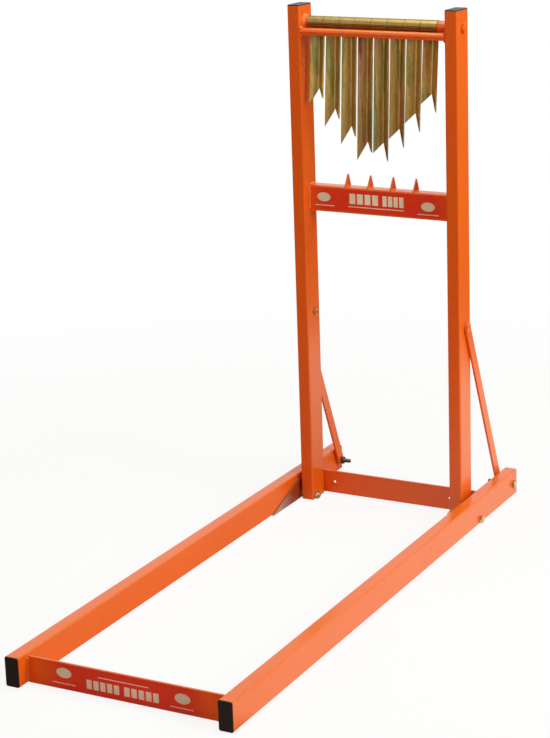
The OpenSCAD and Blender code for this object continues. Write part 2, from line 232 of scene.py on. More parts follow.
def finish_mesh(name: str, mesh: bpy.types.Mesh, sharp_deg: float) -> bpy.types.Object:
    """Merges doubles, turns the faces outwards, sets the shading and links the mesh.

    Args:
        name: name of the new object.
        mesh: the mesh to finish.
        sharp_deg: edges that turn by more than this stay sharp.

    Returns:
        The new object.
    """
    work = bmesh.new()
    work.from_mesh(mesh)
    bmesh.ops.remove_doubles(work, verts=work.verts, dist=MERGE)
    bmesh.ops.dissolve_degenerate(work, edges=work.edges, dist=MERGE / 10)
    bmesh.ops.recalc_face_normals(work, faces=work.faces)
    work.to_mesh(mesh)
    work.free()
    mesh.polygons.foreach_set("use_smooth", np.ones(len(mesh.polygons), bool))
    mesh.set_sharp_from_angle(angle=math.radians(sharp_deg))
    piece = bpy.data.objects.new(name, mesh)
    bpy.context.scene.collection.objects.link(piece)
    flatten = piece.modifiers.new("flat_faces_stay_flat", "WEIGHTED_NORMAL")
    flatten.mode, flatten.weight, flatten.keep_sharp = "FACE_AREA", 50, True
    return piece


def rounded_rect(width: float, height: float, radius: float, steps: int) -> np.ndarray:
    """Loop round a rectangle: each corner is a quarter circle about a point set in
    from the corner by the radius.

    Args:
        width: along the first axis.
        height: along the second axis.
        radius: of the corners.
        steps: parts of each quarter circle.

    Returns:
        Points of shape (4 * (steps + 1), 2), anticlockwise.
    """
    turn = np.arange(4)[:, None] * (math.pi / 2) + np.linspace(0, math.pi / 2, steps + 1)
    sx = np.array([1, -1, -1, 1])[:, None] * (width / 2 - radius)
    sy = np.array([1, 1, -1, -1])[:, None] * (height / 2 - radius)
    return np.stack([sx + radius * np.cos(turn), sy + radius * np.sin(turn)], -1).reshape(-1, 2)


def revolve(profile: np.ndarray, centre: np.ndarray, along: Triple, steps: int) -> Patch:
    """Surface of revolution: profile point (a, r) goes to centre + a along the axis
    + r in the direction that turns round it.

    Args:
        profile: array of shape (k, 2) or (k, steps, 2): along the axis, and radius.
        centre: a point on the axis.
        along: direction of the axis.
        steps: points round the circle.

    Returns:
        A patch that wraps round the axis.
    """
    axis = unit(np.array(along, float))
    side = unit(np.cross(axis, [0.0, 1.0, 0.0]))
    turn = np.linspace(0, 2 * math.pi, steps, endpoint=False)
    ring = np.cos(turn)[:, None] * side + np.sin(turn)[:, None] * np.cross(axis, side)
    if profile.ndim == 2:
        profile = np.repeat(profile[:, None, :], steps, 1)
    points = centre + profile[..., :1] * axis + profile[..., 1:] * ring[None]
    return Patch(points, wrap_columns=True)


def bead(
    path: np.ndarray, side_a: np.ndarray | Triple, side_b: np.ndarray | Triple, leg: float | np.ndarray,
    closed: bool = False,
) -> Patch:
    """Weld bead in the corner of two faces.

    At each point of the path the section is a bulging quarter round from side_a to
    side_b: distance leg / (cos^p + sin^p)^(1/p) at angle phi. Ripples follow each
    other along the path, late in the middle of the bead, as a pool of metal sets.
    An open bead runs out to a point at both ends, along a quarter circle.

    Args:
        path: points along the corner, shape (n, 3).
        side_a: direction along the first face, away from the corner, (n, 3) or (3,).
        side_b: the same along the second face.
        leg: reach of the bead along each face, one for all or one for each point.
        closed: the path ends where it begins.

    Returns:
        A patch, closed at its ends if the path is open.
    """
    bulge, root_depth = 1.6, 0.2 * MM
    ripple_length, ripple_height, lag = 0.42, 0.07, 0.45
    wander_height, wander_rate, run_out = 0.03, 1.7, 0.8
    count = len(path)
    a = np.broadcast_to(unit(np.asarray(side_a, float)), (count, 3))[:, None, :]
    b = np.broadcast_to(unit(np.asarray(side_b, float)), (count, 3))[:, None, :]
    step = np.linalg.norm(np.diff(path, axis=0), axis=1)
    run = np.concatenate([[0], np.cumsum(step)])[:, None]
    whole = run[-1, 0] + (np.linalg.norm(path[0] - path[-1]) if closed else 0)
    phi = np.linspace(0, math.pi / 2, 7)[None, :]
    section = (np.cos(phi) ** bulge + np.sin(phi) ** bulge) ** (-1 / bulge)
    reach = np.broadcast_to(leg, count)[:, None] * section
    longest = float(np.max(leg))
    ripples = max(2, round(whole / (ripple_length * longest)))
    wave = np.cos(2 * math.pi * (run / whole * ripples - lag * np.sin(2 * phi)))
    wander = np.sin(run / longest * wander_rate)
    reach = reach * (1 + ripple_height * wave * np.sin(2 * phi) + wander_height * wander)
    if not closed:
        ease = np.clip(np.minimum(run, whole - run) / (run_out * longest), 0, 1)
        reach = reach * np.sqrt(1 - (1 - ease) ** 2)
    arc = path[:, None, :] + reach[..., None] * (np.cos(phi)[..., None] * a + np.sin(phi)[..., None] * b)
    root = path[:, None, :] - root_depth * (a + b)
    return Patch(np.concatenate([arc, root], 1), wrap_rows=closed, wrap_columns=True)


def straight(start: Triple, end: Triple, spacing: float) -> np.ndarray:
    """Points on a line: start plus an even share of the way to the end.

    Args:
        start: first point.
        end: last point.
        spacing: about how far apart the points lie.

    Returns:
        Points of shape (n, 3), at least three.
    """
    start, end = np.asarray(start, float), np.asarray(end, float)
    count = max(3, int(np.linalg.norm(end - start) / spacing) + 1)
    return start + np.linspace(0, 1, count)[:, None] * (end - start)


def flat_shapes(name: str, outlines: list[np.ndarray], y: float, thick: float) -> bpy.types.Object:
    """Thin shapes that lie on a face towards -Y: each outline in X and Z is carried
    from y forward by the thickness, and closed with a face at each end.

    Args:
        name: name of the new object.
        outlines: closed outlines, each of shape (n, 2).
        y: the face that they lie on.
        thick: how far they stand out.

    Returns:
        The new object.
    """
    points, faces, base = [], [], 0
    for outline in outlines:
        n = len(outline)
        points += [np.insert(outline, 1, y, 1), np.insert(outline, 1, y - thick, 1)]
        ring = np.arange(n)
        after = (ring + 1) % n
        faces += (np.stack([ring, after, after + n, ring + n], -1) + base).tolist()
        faces += [(ring + base).tolist(), (ring[::-1] + n + base).tolist()]
        base += 2 * n
    mesh = bpy.data.meshes.new(name)
    mesh.from_pydata(np.concatenate(points).tolist(), [], faces)
    return finish_mesh(name, mesh, SHARP_FILM_DEG)


# materials


class Step(Enum):
    """How a value passes from one level to the other."""

    EVEN = "LINEAR"
    SOFT = "SMOOTHSTEP"


class Sheet:
    """A node tree that is filled step by step."""

    def __init__(self, tree: bpy.types.NodeTree) -> None:
        """Takes an empty tree."""
        self.tree = tree

    def add(self, kind: str, **values: object) -> bpy.types.Node:
        """Adds a node.

        Args:
            kind: the node's type, without the leading ShaderNode where it has one.
            values: attributes of the node, or values of inputs whose spaces are
                written as underscores; an output socket as a value is linked.

        Returns:
            The node.
        """
        full = kind if kind.startswith("Node") else "ShaderNode" + kind
        node = self.tree.nodes.new(full)
        for key in [k for k in values if hasattr(node, k)]:
            setattr(node, key, values.pop(key))
        sockets = {s.name.replace(" ", "_"): s for s in reversed(node.inputs)}
        for key, value in values.items():
            numbered = key.startswith("i") and key[1:].isdigit()
            self.put(node.inputs[int(key[1:])] if numbered else sockets[key], value)
        return node

    def put(self, socket: Socket, value: object) -> None:
        """Links an output to a socket, or sets the socket's own value.

        Args:
            socket: the input.
            value: an output socket, a number or a colour.
        """
        if isinstance(value, bpy.types.NodeSocket):
            self.tree.links.new(value, socket)
        elif isinstance(value, tuple) and socket.type == "RGBA":
            socket.default_value = (*value, 1.0)
        else:
            socket.default_value = value

    def ramp(self, factor: Socket, stops: list[tuple[float, Colour]]) -> Socket:
        """A colour ramp.

        Args:
            factor: place on the ramp, from 0 to 1.
            stops: places with their colours, in order.

        Returns:
            The ramp's colour output.
        """
        node = self.add("ValToRGB", Fac=factor)
        line = node.color_ramp.elements
        while len(line) < len(stops):
            line.new(0.5)
        for element, (place, colour) in zip(line, stops):
            element.position = place
            element.color = (*colour, 1.0)
        return node.outputs["Color"]

    def mix(self, factor: object, a: object, b: object) -> Socket:
        """Mixes two colours.

        Args:
            factor: 0 for the first colour, 1 for the second.
            a: the first colour.
            b: the second colour.

        Returns:
            The mixed colour.
        """
        node = self.add("Mix", data_type="RGBA", i0=factor, i6=a, i7=b)
        return node.outputs[2]

    def math(self, how: str, *values: object) -> Socket:
        """Works out one arithmetic step.

        Args:
            how: name of the operation.
            values: what it works on.

        Returns:
            The result.
        """
        node = self.add("Math", operation=how)
        for socket, value in zip(node.inputs, values):
            self.put(socket, value)
        return node.outputs[0]

    def span(
        self, value: Socket, start: object = 0.0, end: object = 1.0, low: float = 0.0, high: float = 1.0,
        step: Step = Step.EVEN,
    ) -> Socket:
        """Carries a value over to another range, and holds it at both ends.

        Args:
            value: the value.
            start: where the result is low.
            end: where the result is high.
            low: result at the start and before it.
            high: result at the end and past it.
            step: how it passes from low to high.

        Returns:
            The result.
        """
        node = self.add(
            "MapRange", interpolation_type=step.value, Value=value,
            From_Min=start, From_Max=end, To_Min=low, To_Max=high,
        )
        return node.outputs[0]

    def group(self, tree: bpy.types.NodeTree, **values: float) -> Socket:
        """What a shader group puts out when it is placed with the given values."""
        return self.add("Group", node_tree=tree, **values).outputs[0]

    def place(self) -> Socket:
        """The object's own coordinates."""
        return self.add("TexCoord").outputs["Object"]

    def axis(self, letter: str) -> Socket:
        """One of the object's own coordinates: X, Y or Z."""
        return self.add("SeparateXYZ", Vector=self.place()).outputs[letter]


def new_group(name: str, output: str, **inputs: float) -> tuple[Sheet, bpy.types.NodeOutputs, Socket]:
    """Starts a shader node group that works with numbers.

    Args:
        name: name of the group.
        output: name of what it puts out.
        inputs: names of its inputs, spaces written as underscores, and their defaults.

    Returns:
        The group's sheet, what it is given, and the socket that takes its result.
    """
    tree = bpy.data.node_groups.new(name, "ShaderNodeTree")
    number = "NodeSocketFloat"
    for label, value in inputs.items():
        socket = tree.interface.new_socket(label.replace("_", " "), in_out="INPUT", socket_type=number)
        socket.default_value = value
    tree.interface.new_socket(output, in_out="OUTPUT", socket_type=number)
    sheet = Sheet(tree)
    given = sheet.add("NodeGroupInput").outputs
    return sheet, given, sheet.add("NodeGroupOutput").inputs[output]


def build_mottle_group() -> bpy.types.NodeTree:
    """Soft cloudy variation over a surface: two noises, a broad and a fine one.

    Returns:
        The group; its mask runs from 0 to 1.
    """
    sheet, given, result = new_group("cloudy_mottle", "Mask", Scale=8.0, Fine_Scale=90.0, Fine_Share=0.3)
    place = sheet.place()
    broad = sheet.add("TexNoise", Vector=place, Scale=given["Scale"], Detail=4.0).outputs[0]
    fine = sheet.add("TexNoise", Vector=place, Scale=given["Fine Scale"], Detail=5.0).outputs[0]
    mixed = sheet.add("Mix", data_type="FLOAT", i0=given["Fine Share"], i2=broad, i3=fine)
    sheet.put(result, sheet.span(mixed.outputs[0], 0.3, 0.7))
    return sheet.tree


def build_peel_group() -> bpy.types.NodeTree:
    """Orange peel of a baked powder coat: small rounded cells, blurred by noise.

    Returns:
        The group; its height feeds a bump.
    """
    sheet, given, result = new_group("orange_peel", "Height", Cells=420.0, Waviness=60.0)
    place = sheet.place()
    cells = sheet.add("TexVoronoi", feature="SMOOTH_F1", Vector=place, Scale=given["Cells"], Smoothness=1.0)
    waves = sheet.add("TexNoise", Vector=place, Scale=given["Waviness"], Detail=2.0).outputs[0]
    halved = sheet.math("MULTIPLY", cells.outputs["Distance"], 0.5)
    sheet.put(result, sheet.math("ADD", halved, waves))
    return sheet.tree


def build_grain_group() -> bpy.types.NodeTree:
    """Streaks that run down a drawn or rolled piece: noise stretched along Z.

    Returns:
        The group; its mask runs from 0 to 1.
    """
    sheet, given, result = new_group("drawn_grain", "Mask", Across=120.0, Along=3.0, Contrast=0.3)
    scale = sheet.add("CombineXYZ", X=given["Across"], Y=given["Across"], Z=given["Along"]).outputs[0]
    stretched = sheet.add("VectorMath", operation="MULTIPLY", i0=sheet.place(), i1=scale).outputs[0]
    noise = sheet.add("TexNoise", Vector=stretched, Scale=1.0, Detail=4.0).outputs[0]
    low = sheet.math("SUBTRACT", 0.5, given["Contrast"])
    high = sheet.math("ADD", 0.5, given["Contrast"])
    sheet.put(result, sheet.span(noise, low, high))
    return sheet.tree


@dataclass
class Effects:
    """The shader groups that several finishes share, each built once.

    Attributes:
        mottle: soft clouds.
        peel: orange peel.
        grain: streaks along Z.
    """

    mottle: bpy.types.NodeTree = field(default_factory=build_mottle_group)
    peel: bpy.types.NodeTree = field(default_factory=build_peel_group)
    grain: bpy.types.NodeTree = field(default_factory=build_grain_group)


class FinishSheet(Sheet):
    """The node tree of one finish, round its Principled shader."""

    def __init__(self, finish: Finish, effects: Effects) -> None:
        """Starts the material with the finish's even values and its mottle.

        Args:
            finish: the finish.
            effects: the shared shader groups.
        """
        self.material = bpy.data.materials.new(finish.name)
        self.material.use_nodes = True
        self.material.node_tree.nodes.clear()
        self.material.diffuse_color = (*finish.base, 1.0)
        super().__init__(self.material.node_tree)
        shader = self.add(
            "BsdfPrincipled", Base_Color=finish.base, Roughness=finish.roughness,
            Metallic=finish.metallic, Specular_IOR_Level=finish.specular,
        )
        self.add("OutputMaterial", Surface=shader.outputs[0])
        self.inputs = shader.inputs
        self.effects = effects
        broad, fine, share = finish.mottle
        self.clouds = self.group(effects.mottle, Scale=broad, Fine_Scale=fine, Fine_Share=share)

    def grain(self, across: float, along: float, contrast: float) -> Socket:
        """Streaks down the piece."""
        return self.group(self.effects.grain, Across=across, Along=along, Contrast=contrast)

    def colour(self, value: Socket) -> None:
        """Lets a colour vary over the surface."""
        self.put(self.inputs["Base Color"], value)

    def roughen(self, mask: Socket, middle: float, spread: Pair) -> None:
        """Lets a mask carry the roughness from one offset to the other."""
        self.put(self.inputs["Roughness"], self.span(mask, low=middle + spread[0], high=middle + spread[1]))

    def emboss(self, height: Socket, strength: float, distance: float) -> None:
        """Lets a height stand out of the surface."""
        bump = self.add("Bump", Strength=strength, Distance=distance, Height=height)
        self.put(self.inputs["Normal"], bump.outputs[0])


@dataclass(frozen=True)
class Finish:
    """What all finishes have in common.

    Attributes:
        name: name of the material.
        base: colour where nothing varies it, linear.
        roughness: microfacet roughness.
        metallic: 1 for uncoated or plated metal.
        specular: specular level of the clear surface.
        mottle: scales of its broad and its fine clouds, and the share of the fine ones.
    """

    name: str
    base: Colour
    roughness: float
    metallic: float = 0.0
    specular: float = 0.5
    mottle: Triple = (16.0, 400.0, 0.2)

    def build(self, effects: Effects) -> bpy.types.Material:
        """Builds the material.

        Args:
            effects: the shared shader groups.

        Returns:
            The material.
        """
        sheet = FinishSheet(self, effects)
        self.cover(sheet)
        return sheet.material

    def cover(self, sheet: FinishSheet) -> None:
        """Lets the surface vary, in the way of each finish."""
        raise NotImplementedError(self.name)


@dataclass(frozen=True)
class PowderCoat(Finish):
    """Glossy baked powder coat, with cloudy depth and orange peel.

    Attributes:
        deep: colour where the coat lies thick.
        depth: how much of that colour the thickest clouds show.
        spread: offsets of the roughness between which the clouds vary it.
        peel: strength and height of the orange peel.
    """

    mottle: Triple = (5.0, 160.0, 0.35)
    deep: Colour = (0.73, 0.098, 0.0045)
    depth: float = 0.35
    spread: Pair = (-0.05, 0.07)
    peel: Pair = (0.05, 0.4 * MM)

    def cover(self, sheet: FinishSheet) -> None:
        """Clouds in the colour and the gloss, under the peel.

        Args:
            sheet: the material's node tree.
        """
        thick = sheet.math("MULTIPLY", sheet.clouds, self.depth)
        sheet.colour(sheet.mix(thick, self.base, self.deep))
        sheet.roughen(sheet.clouds, self.roughness, self.spread)
        sheet.emboss(sheet.group(sheet.effects.peel), *self.peel)


@dataclass(frozen=True)
class YellowZinc(Finish):
    """Yellow passivated zinc: gold that runs into green, rose and brown.

    Attributes:
        streaks: scale across and along, and contrast of the long soft streaks.
        scratches: the same of the fine scratches.
        shares: how much streaks, clouds and the tooth's own number move the tint.
        bath: the tints beside the base colour, at their places on a line of tints.
        middle: place of the base colour on that line.
        rolled: height above which the rolled eyes carry the painted shade in full.
        ease: height over which the painted shade grows.
        painted_eye_shade: darker colour painted on the eyes as shade, to tone down the lamps' highlight on
            their tops.
        painted_eye_shade_share: how much of it shows.
        spread: offsets of the roughness between which the scratches vary it.
        relief: strength and depth of the scratches.
    """

    mottle: Triple = (17.0, 80.0, 0.3)
    streaks: Triple = (52.0, 2.2, 0.19)
    scratches: Triple = (900.0, 14.0, 0.3)
    shares: Triple = (0.56, 0.22, 0.24)
    bath: tuple[tuple[float, Colour], ...] = (
        (0.12, (0.130, 0.042, 0.014)),
        (0.27, (0.370, 0.130, 0.042)),
        (0.38, (0.560, 0.285, 0.145)),
        (0.60, (0.600, 0.370, 0.110)),
        (0.72, (0.290, 0.225, 0.048)),
        (0.86, (0.420, 0.355, 0.150)),
    )
    middle: float = 0.48
    rolled: float = 0.922
    ease: float = 8 * MM
    painted_eye_shade: Colour = (0.245, 0.138, 0.046)
    painted_eye_shade_share: float = 0.75
    spread: Pair = (-0.07, 0.10)
    relief: Pair = (0.06, 0.2 * MM)

    def own_number(self, sheet: FinishSheet) -> Socket:
        """A number drawn for each tooth, because each came out of the bath with a
        tint of its own: white noise of the tooth's place in the row, counted in
        pitches along X.

        Args:
            sheet: the material's node tree.

        Returns:
            The number, from 0 to 1.
        """
        along = sheet.math("DIVIDE", sheet.math("SUBTRACT", sheet.axis("X"), ROW_START), ROW_PITCH)
        middle = sheet.math("ADD", sheet.math("FLOOR", along), 0.5)
        return sheet.add("TexWhiteNoise", noise_dimensions="1D", W=middle).outputs["Value"]

    def cover(self, sheet: FinishSheet) -> None:
        """Streaks, clouds and the tooth's own number add up to a place on the line of
        tints, and the eyes above take a darker colour as painted shade.

        Args:
            sheet: the material's node tree.
        """
        streaked, clouded, drawn = self.shares
        blend = sheet.math("MULTIPLY", sheet.clouds, clouded)
        blend = sheet.math("MULTIPLY_ADD", sheet.grain(*self.streaks), streaked, blend)
        blend = sheet.math("ADD", blend, sheet.math("MULTIPLY", self.own_number(sheet), drawn))
        tint = sheet.ramp(blend, sorted((*self.bath, (self.middle, self.base))))
        # painted shade: the eyes above the axle are darkened against the lamps' highlight
        eyes = sheet.span(sheet.axis("Z"), self.rolled - self.ease, self.rolled, high=self.painted_eye_shade_share)
        sheet.colour(sheet.mix(eyes, tint, self.painted_eye_shade))
        scratches = sheet.grain(*self.scratches)
        sheet.roughen(scratches, self.roughness, self.spread)
        sheet.emboss(scratches, *self.relief)


@dataclass(frozen=True)
class PlatedSteel(Finish):
    """Pale yellow zinc plating of bolts, nuts and washers.

    Attributes:
        dark: colour in its dark clouds.
        spread: offsets of the roughness.
    """

    mottle: Triple = (120.0, 700.0, 0.4)
    dark: Colour = (0.36, 0.23, 0.09)
    spread: Pair = (-0.06, 0.10)

    def cover(self, sheet: FinishSheet) -> None:
        """Clouds in the colour and the gloss."""
        sheet.colour(sheet.mix(sheet.clouds, self.base, self.dark))
        sheet.roughen(sheet.clouds, self.roughness, self.spread)


@dataclass(frozen=True)
class InnerShadeSteel(PlatedSteel):
    """The same plating, darkened with painted shade where the fastener sits inside the frame.

    Attributes:
        painted_inner_shade: dark colour painted on as shade inside the frame.
        thin_grease: the painted shade's colour in its pale clouds.
        reach: distance from the middle plane at which the painted shade ends.
    """

    spread: Pair = (0.0, 0.20)
    painted_inner_shade: Colour = (0.085, 0.055, 0.040)
    thin_grease: Colour = (0.17, 0.11, 0.07)
    reach: float = 0.1765

    def cover(self, sheet: FinishSheet) -> None:
        """A mask by the distance from the middle plane parts the painted shade inside the frame from the
        plain plating outside.

        Args:
            sheet: the material's node tree.
        """
        # painted shade: parts inside the rails take a dark colour
        inside = sheet.math("LESS_THAN", sheet.math("ABSOLUTE", sheet.axis("X")), self.reach)
        unshaded_colour = sheet.mix(sheet.clouds, self.base, self.dark)
        shaded_colour = sheet.mix(sheet.clouds, self.painted_inner_shade, self.thin_grease)
        sheet.colour(sheet.mix(inside, unshaded_colour, shaded_colour))
        sheet.roughen(inside, self.roughness, self.spread)


@dataclass(frozen=True)
class PlateWithPaintedReflectionAndShade(Finish):
    """Coat on a steel plate with painted light: its front point is grey, a painted reflection
    of the pale floor, it grows dark red towards the post as painted shade, and it is the full coat behind
    it.

    Attributes:
        red: painted shade beside the post.
        full: colour of the full coat.
        painted_reflection_span: Y where the painted reflection begins to go under the painted shade, and
            where it has gone.
        post: Y where the full coat begins, and where the painted shade has gone.
        wander: how far the clouds shift these edges.
    """

    mottle: Triple = (30.0, 260.0, 0.4)
    red: Colour = (0.30, 0.045, 0.012)
    full: Colour = ORANGE
    painted_reflection_span: Pair = (0.285, 0.350)
    post: Pair = (0.380, 0.400)
    wander: float = 20 * MM

    def cover(self, sheet: FinishSheet) -> None:
        """Two soft steps along Y between three colours.

        Args:
            sheet: the material's node tree.
        """
        along = sheet.math("SUBTRACT", sheet.axis("Y"), self.wander / 2)
        shifted = sheet.math("MULTIPLY_ADD", sheet.clouds, self.wander, along)
        # painted reflection of the floor at the front point, painted shade towards the post
        past_painted_reflection = sheet.span(shifted, *self.painted_reflection_span, step=Step.SOFT)
        past_painted_shade = sheet.span(shifted, *self.post, step=Step.SOFT)
        sheet.colour(sheet.mix(past_painted_shade, sheet.mix(past_painted_reflection, self.base, self.red), self.full))


@dataclass(frozen=True)
class MouldedPlastic(Finish):
    """Black moulded plastic with a fine spark-eroded grain.

    Attributes:
        pale: colour in its pale clouds.
        relief: strength and height of the grain.
    """

    mottle: Triple = (40.0, 1500.0, 0.6)
    pale: Colour = (0.022, 0.017, 0.016)
    relief: Pair = (0.25, 0.1 * MM)

    def cover(self, sheet: FinishSheet) -> None:
        """Clouds in the colour and the height."""
        sheet.colour(sheet.mix(sheet.clouds, self.base, self.pale))
        sheet.emboss(sheet.clouds, *self.relief)


@dataclass(frozen=True)
class Vinyl(Finish):
    """Smooth printed film of a label.

    Attributes:
        darker: share of the colour that its darkest clouds keep.
    """

    darker: float = 0.82

    def printed(self, sheet: FinishSheet) -> Socket:
        """Clouds between the printed colour and a darker one."""
        return sheet.mix(sheet.clouds, self.base, tuple(self.darker * c for c in self.base))

    def cover(self, sheet: FinishSheet) -> None:
        """The printed colour all over."""
        sheet.colour(self.printed(sheet))


@dataclass(frozen=True)
class FadedFilm(Vinyl):
    """Printed film whose red runs out into the paint's colour at both ends.

    Attributes:
        ends: colour of the ends.
        fade: distances from the middle plane where the red begins to fade, and where
            it has gone.
    """

    mottle: Triple = (9.0, 300.0, 0.25)
    darker: float = 0.86
    ends: Colour = ORANGE
    fade: Pair = (0.108, 0.158)

    def cover(self, sheet: FinishSheet) -> None:
        """A soft step by the distance from the middle plane."""
        gone = sheet.span(sheet.math("ABSOLUTE", sheet.axis("X")), *self.fade, step=Step.SOFT)
        sheet.colour(sheet.mix(gone, self.printed(sheet), self.ends))


class Finishes:
    """All materials of the object."""

    def __init__(self) -> None:
        """Builds every material once, round the shared shader groups."""
        effects = Effects()
        self.paint = PowderCoat("orange_powder_coat", ORANGE, 0.22).build(effects)
        self.teeth = YellowZinc("yellow_passivated_zinc", (0.46, 0.250, 0.050), 0.30, 0.9).build(effects)
        self.bolts = PlatedSteel("zinc_plated_fasteners", ZINC, 0.24, 1.0).build(effects)
        # fasteners with painted shade on their parts inside the frame
        self.inner_shaded = InnerShadeSteel("greased_fasteners", ZINC, 0.24, 1.0).build(effects)
        # grey base: painted reflection of the floor on the plates' front points
        self.plate = PlateWithPaintedReflectionAndShade("thin_coat_on_steel_plate", (0.40, 0.27, 0.235), 0.32).build(effects)
        # dark coat for the plates' edge beads: painted shade of the dark band along the plates' upper edge
        self.seam = PowderCoat(
            "thick_powder_coat_in_seams", (0.40, 0.055, 0.006), 0.40, specular=0.25, deep=(0.26, 0.03, 0.004)
        ).build(effects)
        self.plastic = MouldedPlastic(
            "black_moulded_plastic", (0.021, 0.0125, 0.0105), 0.48, specular=0.3
        ).build(effects)
        self.label = FadedFilm("red_label_film", (0.88, 0.055, 0.018), 0.26, specular=0.3).build(effects)
        self.ink = Vinyl("cream_label_ink", (0.96, 0.92, 0.74), 0.40, specular=0.4).build(effects)
        self.disc = Vinyl("grey_label_ink", (0.82, 0.84, 0.66), 0.40, specular=0.4).build(effects)


def dress(piece: bpy.types.Object, material: bpy.types.Material) -> None:
    """Gives a piece one material."""
    piece.data.materials.clear()
    piece.data.materials.append(material)


def settle(
    piece: bpy.types.Object, body: str, material: bpy.types.Material, slot: Slot, *replaced: str
) -> None:
    """Dresses a new piece, makes it ride on its body and reports it.

    Args:
        piece: the new piece, in place.
        body: the body that it moves with.
        material: its finish.
        slot: the record's slot for that finish; not used.
        replaced: CAD nodes that it stands for.
    """
    dress(piece, material)
    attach(piece, body)
    if replaced:
        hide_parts(*replaced)
    LOG.info("%s rides on %s, %d faces", piece.name, body, len(piece.data.polygons))


# sub-assemblies


@dataclass(frozen=True)
class Model:
    """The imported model.

    Attributes:
        bodies: the nodes of each body.
    """

    bodies: dict[str, list[str]]

    def body_of(self, node: str) -> str:
        """The body that a node moves with."""
        return next(body for body, nodes in self.bodies.items() if node in nodes)


def softened_copy(node: str, name: str, width: float) -> bpy.types.Object:
    """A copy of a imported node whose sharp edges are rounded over.

    Args:
        node: the node to copy; it stays as it is.
        name: name of the copy.
        width: how far the rounding reaches from each edge.

    Returns:
        The copy.
    """
    flat, corner = math.radians(0.4), math.radians(38)
    work = bmesh.new()
    work.from_mesh(bpy.data.objects[node].data)
    bmesh.ops.remove_doubles(work, verts=work.verts, dist=MERGE)
    bmesh.ops.dissolve_limit(work, angle_limit=flat, verts=work.verts, edges=work.edges)
    sharp = [e for e in work.edges if e.is_manifold and e.calc_face_angle(0.0) > corner]
    bmesh.ops.bevel(
        work, geom=sharp, offset=width, offset_type="OFFSET", segments=2, profile=0.5,
        affect="EDGES", clamp_overlap=True,
    )
    mesh = bpy.data.meshes.new(name)
    work.to_mesh(mesh)
    work.free()
    return finish_mesh(name, mesh, SHARP_DEG)


@dataclass
class FormedSteel:
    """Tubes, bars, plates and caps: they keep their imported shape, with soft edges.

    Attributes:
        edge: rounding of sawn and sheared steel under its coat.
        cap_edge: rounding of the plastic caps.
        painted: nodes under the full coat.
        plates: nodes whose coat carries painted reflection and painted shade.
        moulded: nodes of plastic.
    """

    edge: float = 0.4 * MM
    cap_edge: float = 0.55 * MM
    painted: tuple[str, ...] = (
        "rail_left", "rail_right", "front_bar", "rear_bar",
        "post_left", "post_right", "cross_tube", "cross_spikes", "stay_left", "stay_right",
    )
    plates: tuple[str, ...] = ("pivot_plate_left", "pivot_plate_right")
    moulded: tuple[str, ...] = (
        "rail_cap_front_left", "rail_cap_front_right", "rail_cap_rear_left", "rail_cap_rear_right",
        "post_cap_left", "post_cap_right",
    )

    def build(self, model: Model, finishes: Finishes) -> None:
        """Makes a softened copy of every node in the three lists.

        Args:
            model: says which body carries each node.
            finishes: the materials.
        """
        for nodes, slot, width, finish in (
            (self.painted, Slot.PAINT, self.edge, finishes.paint),
            (self.plates, Slot.PAINT, self.edge, finishes.plate),
            (self.moulded, Slot.PLASTIC, self.cap_edge, finishes.plastic),
        ):
            for node in nodes:
                piece = softened_copy(node, f"{node}_formed", width)
                settle(piece, model.body_of(node), finish, slot, node)


